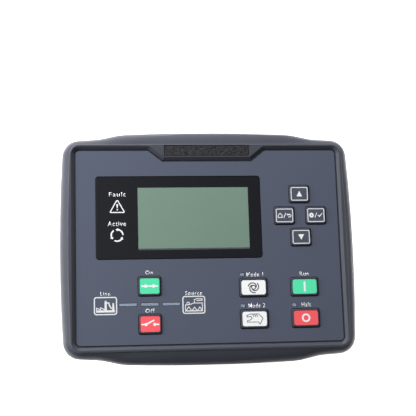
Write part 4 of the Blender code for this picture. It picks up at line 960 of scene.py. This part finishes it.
# Panel gasket
# A ring of closed-cell foam behind the flange. Its cut edge shows the cells.
GASKET_EDGE = 0.0002
foam = finish(
    "gasket_cells", (0.016, 0.016, 0.017), 0.85, tone=0.6, grain=1400.0, depth=0.00014, unevenness=0.2
)
gasket = reworked("panel_gasket", "panel_gasket_foam", GASKET_EDGE)
coat(gasket, foam)

# Terminal blocks
# Green plug-in blocks in green headers. Each way has a slotted clamp screw in its well and a steel
# cage behind its wire hole.
TERMINAL_EDGE = 0.00012
TERMINAL_PITCH = 0.00508
PLUG_GAP = 0.0003
WIRE_HOLE = 0.0032
WIRE_HOLE_INSET = 0.0024
WELL_DEPTH = 0.0024
CLAMP_RADIUS = 0.0015
CLAMP_SIDES = 20
CLAMP_SINK = 0.0009
CLAMP_EDGE = 0.00008
SLOT_WIDTH = 0.0005
SLOT_DEPTH = 0.0005
SLOT_REACH = 1.2
CAGE_DEPTH = 0.0060
CAGE_HALF = 0.00145
CAGE_THICKNESS = 0.0004
CAGE_EDGE = 0.00006
RIDGE_HALF = 0.0004
RIDGE_SWELL = 1.8
FACING = 0.9

terminal_green = finish(
    "terminal_green_nylon", (0.012, 0.215, 0.078), 0.46, grain=1800.0, depth=0.00001
)
zinc = finish(
    "zinc_bright", (0.620, 0.620, 0.640), 0.30, tone=0.12, grain=700.0, depth=0.00001, Metallic=1.0
)


def clamp_screw():
    """A slotted screw head at the origin, seen from behind, with its foot in the well."""
    bpy.ops.object.select_all(action="DESELECT")
    height = WELL_DEPTH - CLAMP_SINK
    bpy.ops.mesh.primitive_cylinder_add(
        vertices=CLAMP_SIDES, radius=CLAMP_RADIUS, depth=height,
        location=(0.0, 0.0, CLAMP_SINK + height / 2),
    )
    head = bpy.context.object
    bpy.ops.object.transform_apply(location=True, rotation=True, scale=True)
    low = (-CLAMP_RADIUS * SLOT_REACH, -SLOT_WIDTH / 2, 0.0)
    high = (CLAMP_RADIUS * SLOT_REACH, SLOT_WIDTH / 2, CLAMP_SINK + SLOT_DEPTH)
    combine(head, block("slot_cutter", low, high), "DIFFERENCE")
    rounded(head, CLAMP_EDGE)
    return head


def clamp_cage():
    """The steel jaw behind a wire hole: a plate with rounded edges and a ridge across it."""
    corner = Vector((CAGE_HALF, CAGE_THICKNESS / 2, CAGE_HALF))
    cage = block("cage", -corner, corner)
    select_only(cage)
    bpy.ops.object.mode_set(mode="EDIT")
    for height in (-RIDGE_HALF, RIDGE_HALF):
        bpy.ops.mesh.select_all(action="SELECT")
        bpy.ops.mesh.bisect(plane_co=(0.0, 0.0, height), plane_no=(0.0, 0.0, 1.0))
    bpy.ops.object.mode_set(mode="OBJECT")
    for face in cage.data.polygons:
        face.select = abs(face.normal.y) > FACING and abs(face.center.z) < RIDGE_HALF
    bpy.ops.object.mode_set(mode="EDIT")
    bpy.ops.mesh.select_mode(type="FACE")
    bpy.ops.transform.resize(value=(1.0, RIDGE_SWELL, 1.0), center_override=(0.0, 0.0, 0.0))
    bpy.ops.object.mode_set(mode="OBJECT")
    rounded(cage, CAGE_EDGE)
    return cage


def placed_copy(pattern, place):
    """A copy of a fitting with its own mesh, moved to its place."""
    piece = pattern.copy()
    piece.data = pattern.data.copy()
    piece.location = place
    bpy.context.scene.collection.objects.link(piece)
    select_only(piece)
    bpy.ops.object.transform_apply(location=True, rotation=True, scale=True)
    return piece


def joined(name, pieces):
    """Joins separate fittings of one kind into one piece."""
    select_only(pieces[0])
    for piece in pieces:
        piece.select_set(True)
    bpy.ops.object.join()
    pieces[0].name = name
    return pieces[0]


screw_pattern = clamp_screw()
cage_pattern = clamp_cage()
for name in "abcd":
    header = reworked("terminal_header_" + name, f"header_{name}_shell", TERMINAL_EDGE)
    coat(header, terminal_green)
    plug = reworked("terminal_plug_" + name, f"plug_{name}_block", TERMINAL_EDGE)
    coat(plug, terminal_green)
    low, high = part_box("terminal_plug_" + name)
    header_low, header_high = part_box("terminal_header_" + name)
    row = (header_low.y + header_high.y) / 2
    outwards = 1 if row > 0 else -1
    mouth = high.y if outwards > 0 else low.y
    hole_middle = header_low.z - PLUG_GAP - WIRE_HOLE_INSET - WIRE_HOLE / 2
    fittings = []
    for way in range(round((high.x - low.x) / TERMINAL_PITCH)):
        x = low.x + (way + 0.5) * TERMINAL_PITCH
        fittings.append(placed_copy(screw_pattern, (x, row, low.z)))
        fittings.append(placed_copy(cage_pattern, (x, mouth - outwards * CAGE_DEPTH, hole_middle)))
    clamps = joined(f"plug_{name}_clamps", fittings)
    bpy.ops.object.shade_smooth_by_angle(angle=SHARP)
    coat(clamps, zinc)
    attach(clamps, "case")
for pattern in (screw_pattern, cage_pattern):
    bpy.data.objects.remove(pattern, do_unlink=True)

# Service port
# A folded steel shell round a black moulded tongue, which carries two flat gilt contacts on each
# of its long sides.
PORT_EDGE = 0.00012
TONGUE_WIDTH = 0.0056
TONGUE_HEIGHT = 0.0028
TONGUE_START = 0.004
TONGUE_FLOOR = 0.0174
TONGUE_MARGIN = 0.0002
CONTACT_WIDTH = 0.0011
CONTACT_LENGTH = 0.0124
CONTACT_STEP = 0.0025
CONTACT_RISE = 0.0001
CONTACT_START = 0.0006
CONTACT_EDGE = 0.00004
port_steel = finish(
    "port_steel", (0.42, 0.42, 0.43), 0.34, tone=0.06, grain=500.0, depth=0.000004, Metallic=1.0
)
port_black = finish("port_black_nylon", (0.014, 0.014, 0.015), 0.45, grain=1600.0)
gilt = finish(
    "contact_gilt", (0.83, 0.56, 0.20), 0.28, tone=0.06, grain=600.0, depth=0.000003, Metallic=1.0
)
port = reworked("service_port", "service_port_shell", PORT_EDGE)
coat(port, port_steel)
port.data.materials.append(port_black)
port_low, port_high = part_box("service_port")
port_middle = (port_low + port_high) / 2
across_tongue = TONGUE_WIDTH / 2 + TONGUE_MARGIN
up_tongue = TONGUE_HEIGHT / 2 + TONGUE_MARGIN
floor_level = port_low.z + TONGUE_FLOOR - TONGUE_MARGIN
for face in port.data.polygons:
    away = face.center - port_middle
    on_tongue = abs(away.x) < across_tongue and abs(away.y) < up_tongue
    on_floor = face.normal.z < -FACING and face.center.z > floor_level
    face.material_index = int(on_tongue or on_floor)
contacts = []
for side in (-1, 1):
    for step in (-1, 1):
        x = port_middle.x + step * CONTACT_STEP / 2
        y = port_middle.y + side * TONGUE_HEIGHT / 2
        start = port_low.z + TONGUE_START + CONTACT_START
        contact = block(
            "contact",
            (x - CONTACT_WIDTH / 2, y - CONTACT_RISE, start),
            (x + CONTACT_WIDTH / 2, y + CONTACT_RISE, start + CONTACT_LENGTH),
        )
        rounded(contact, CONTACT_EDGE)
        contacts.append(contact)
port_contacts = joined("port_contacts", contacts)
coat(port_contacts, gilt)
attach(port_contacts, "case")

# Screws
# Four zinc-plated steel screws with pan heads hold the front frame to the housing. Each lies deep in
# its column, and has a cross recess.
SCREW_EDGE = 0.00015
CROSS_WIDTH = 0.0009
CROSS_LENGTH = 0.0034
CROSS_DEPTH = 0.0012
for number in range(1, 5):
    screw = reworked(f"case_screw_{number}", f"case_screw_{number}_cross", SCREW_EDGE)
    low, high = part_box(f"case_screw_{number}")
    middle = (low + high) / 2
    for along, across in ((CROSS_LENGTH, CROSS_WIDTH), (CROSS_WIDTH, CROSS_LENGTH)):
        corner = (middle.x - along / 2, middle.y - across / 2, low.z - CUT_PAST)
        opposite = (middle.x + along / 2, middle.y + across / 2, low.z + CROSS_DEPTH)
        combine(screw, block("cross_cutter", corner, opposite), "DIFFERENCE")
    bpy.ops.object.shade_smooth_by_angle(angle=SHARP)
    coat(screw, zinc)

# Pieces inside the housing
# The display's parts, two green boards with what is soldered to them, and the spacers and screws
# between the boards. The closed housing hides them, but each has its own finish.
circuit_board = finish("board_resist", (0.020, 0.160, 0.070), 0.38, tone=0.5, grain=420.0, depth=0.00002)
tin = finish("bezel_tin", (0.600, 0.600, 0.620), 0.33, tone=0.08, grain=900.0, Metallic=1.0)
diffuser = finish("backlight_diffuser", (0.850, 0.870, 0.850), 0.50, tone=0.03)
relay_case = finish("relay_case_plastic", (0.030, 0.060, 0.200), 0.40)
sleeve = finish("capacitor_shrink", (0.020, 0.020, 0.030), 0.32, tone=0.1)
tape = finish("transformer_tape_yellow", (0.700, 0.550, 0.100), 0.48, tone=0.15, grain=300.0)
connector = finish("connector_nylon", (0.020, 0.020, 0.020), 0.50)
INSIDE = (
    (("display_board", "power_board"), circuit_board),
    (("lcd_bezel",), tin),
    (("lcd_glass",), display_green),
    (("lcd_backlight",), diffuser),
    (("relay_1", "relay_2", "relay_3", "relay_4"), relay_case),
    (("capacitor_1", "capacitor_2"), sleeve),
    (("transformer",), tape),
    (("board_link",), connector),
    (("clock_cell",), zinc),
    (("spacer_1", "spacer_2", "spacer_3", "spacer_4"), zinc),
    (("board_screw_1", "board_screw_2", "board_screw_3", "board_screw_4"), zinc),
)
for nodes, material in INSIDE:
    for node in nodes:
        piece = frame["nodes"][node]
        piece.data.materials.clear()
        piece.data.materials.append(material)
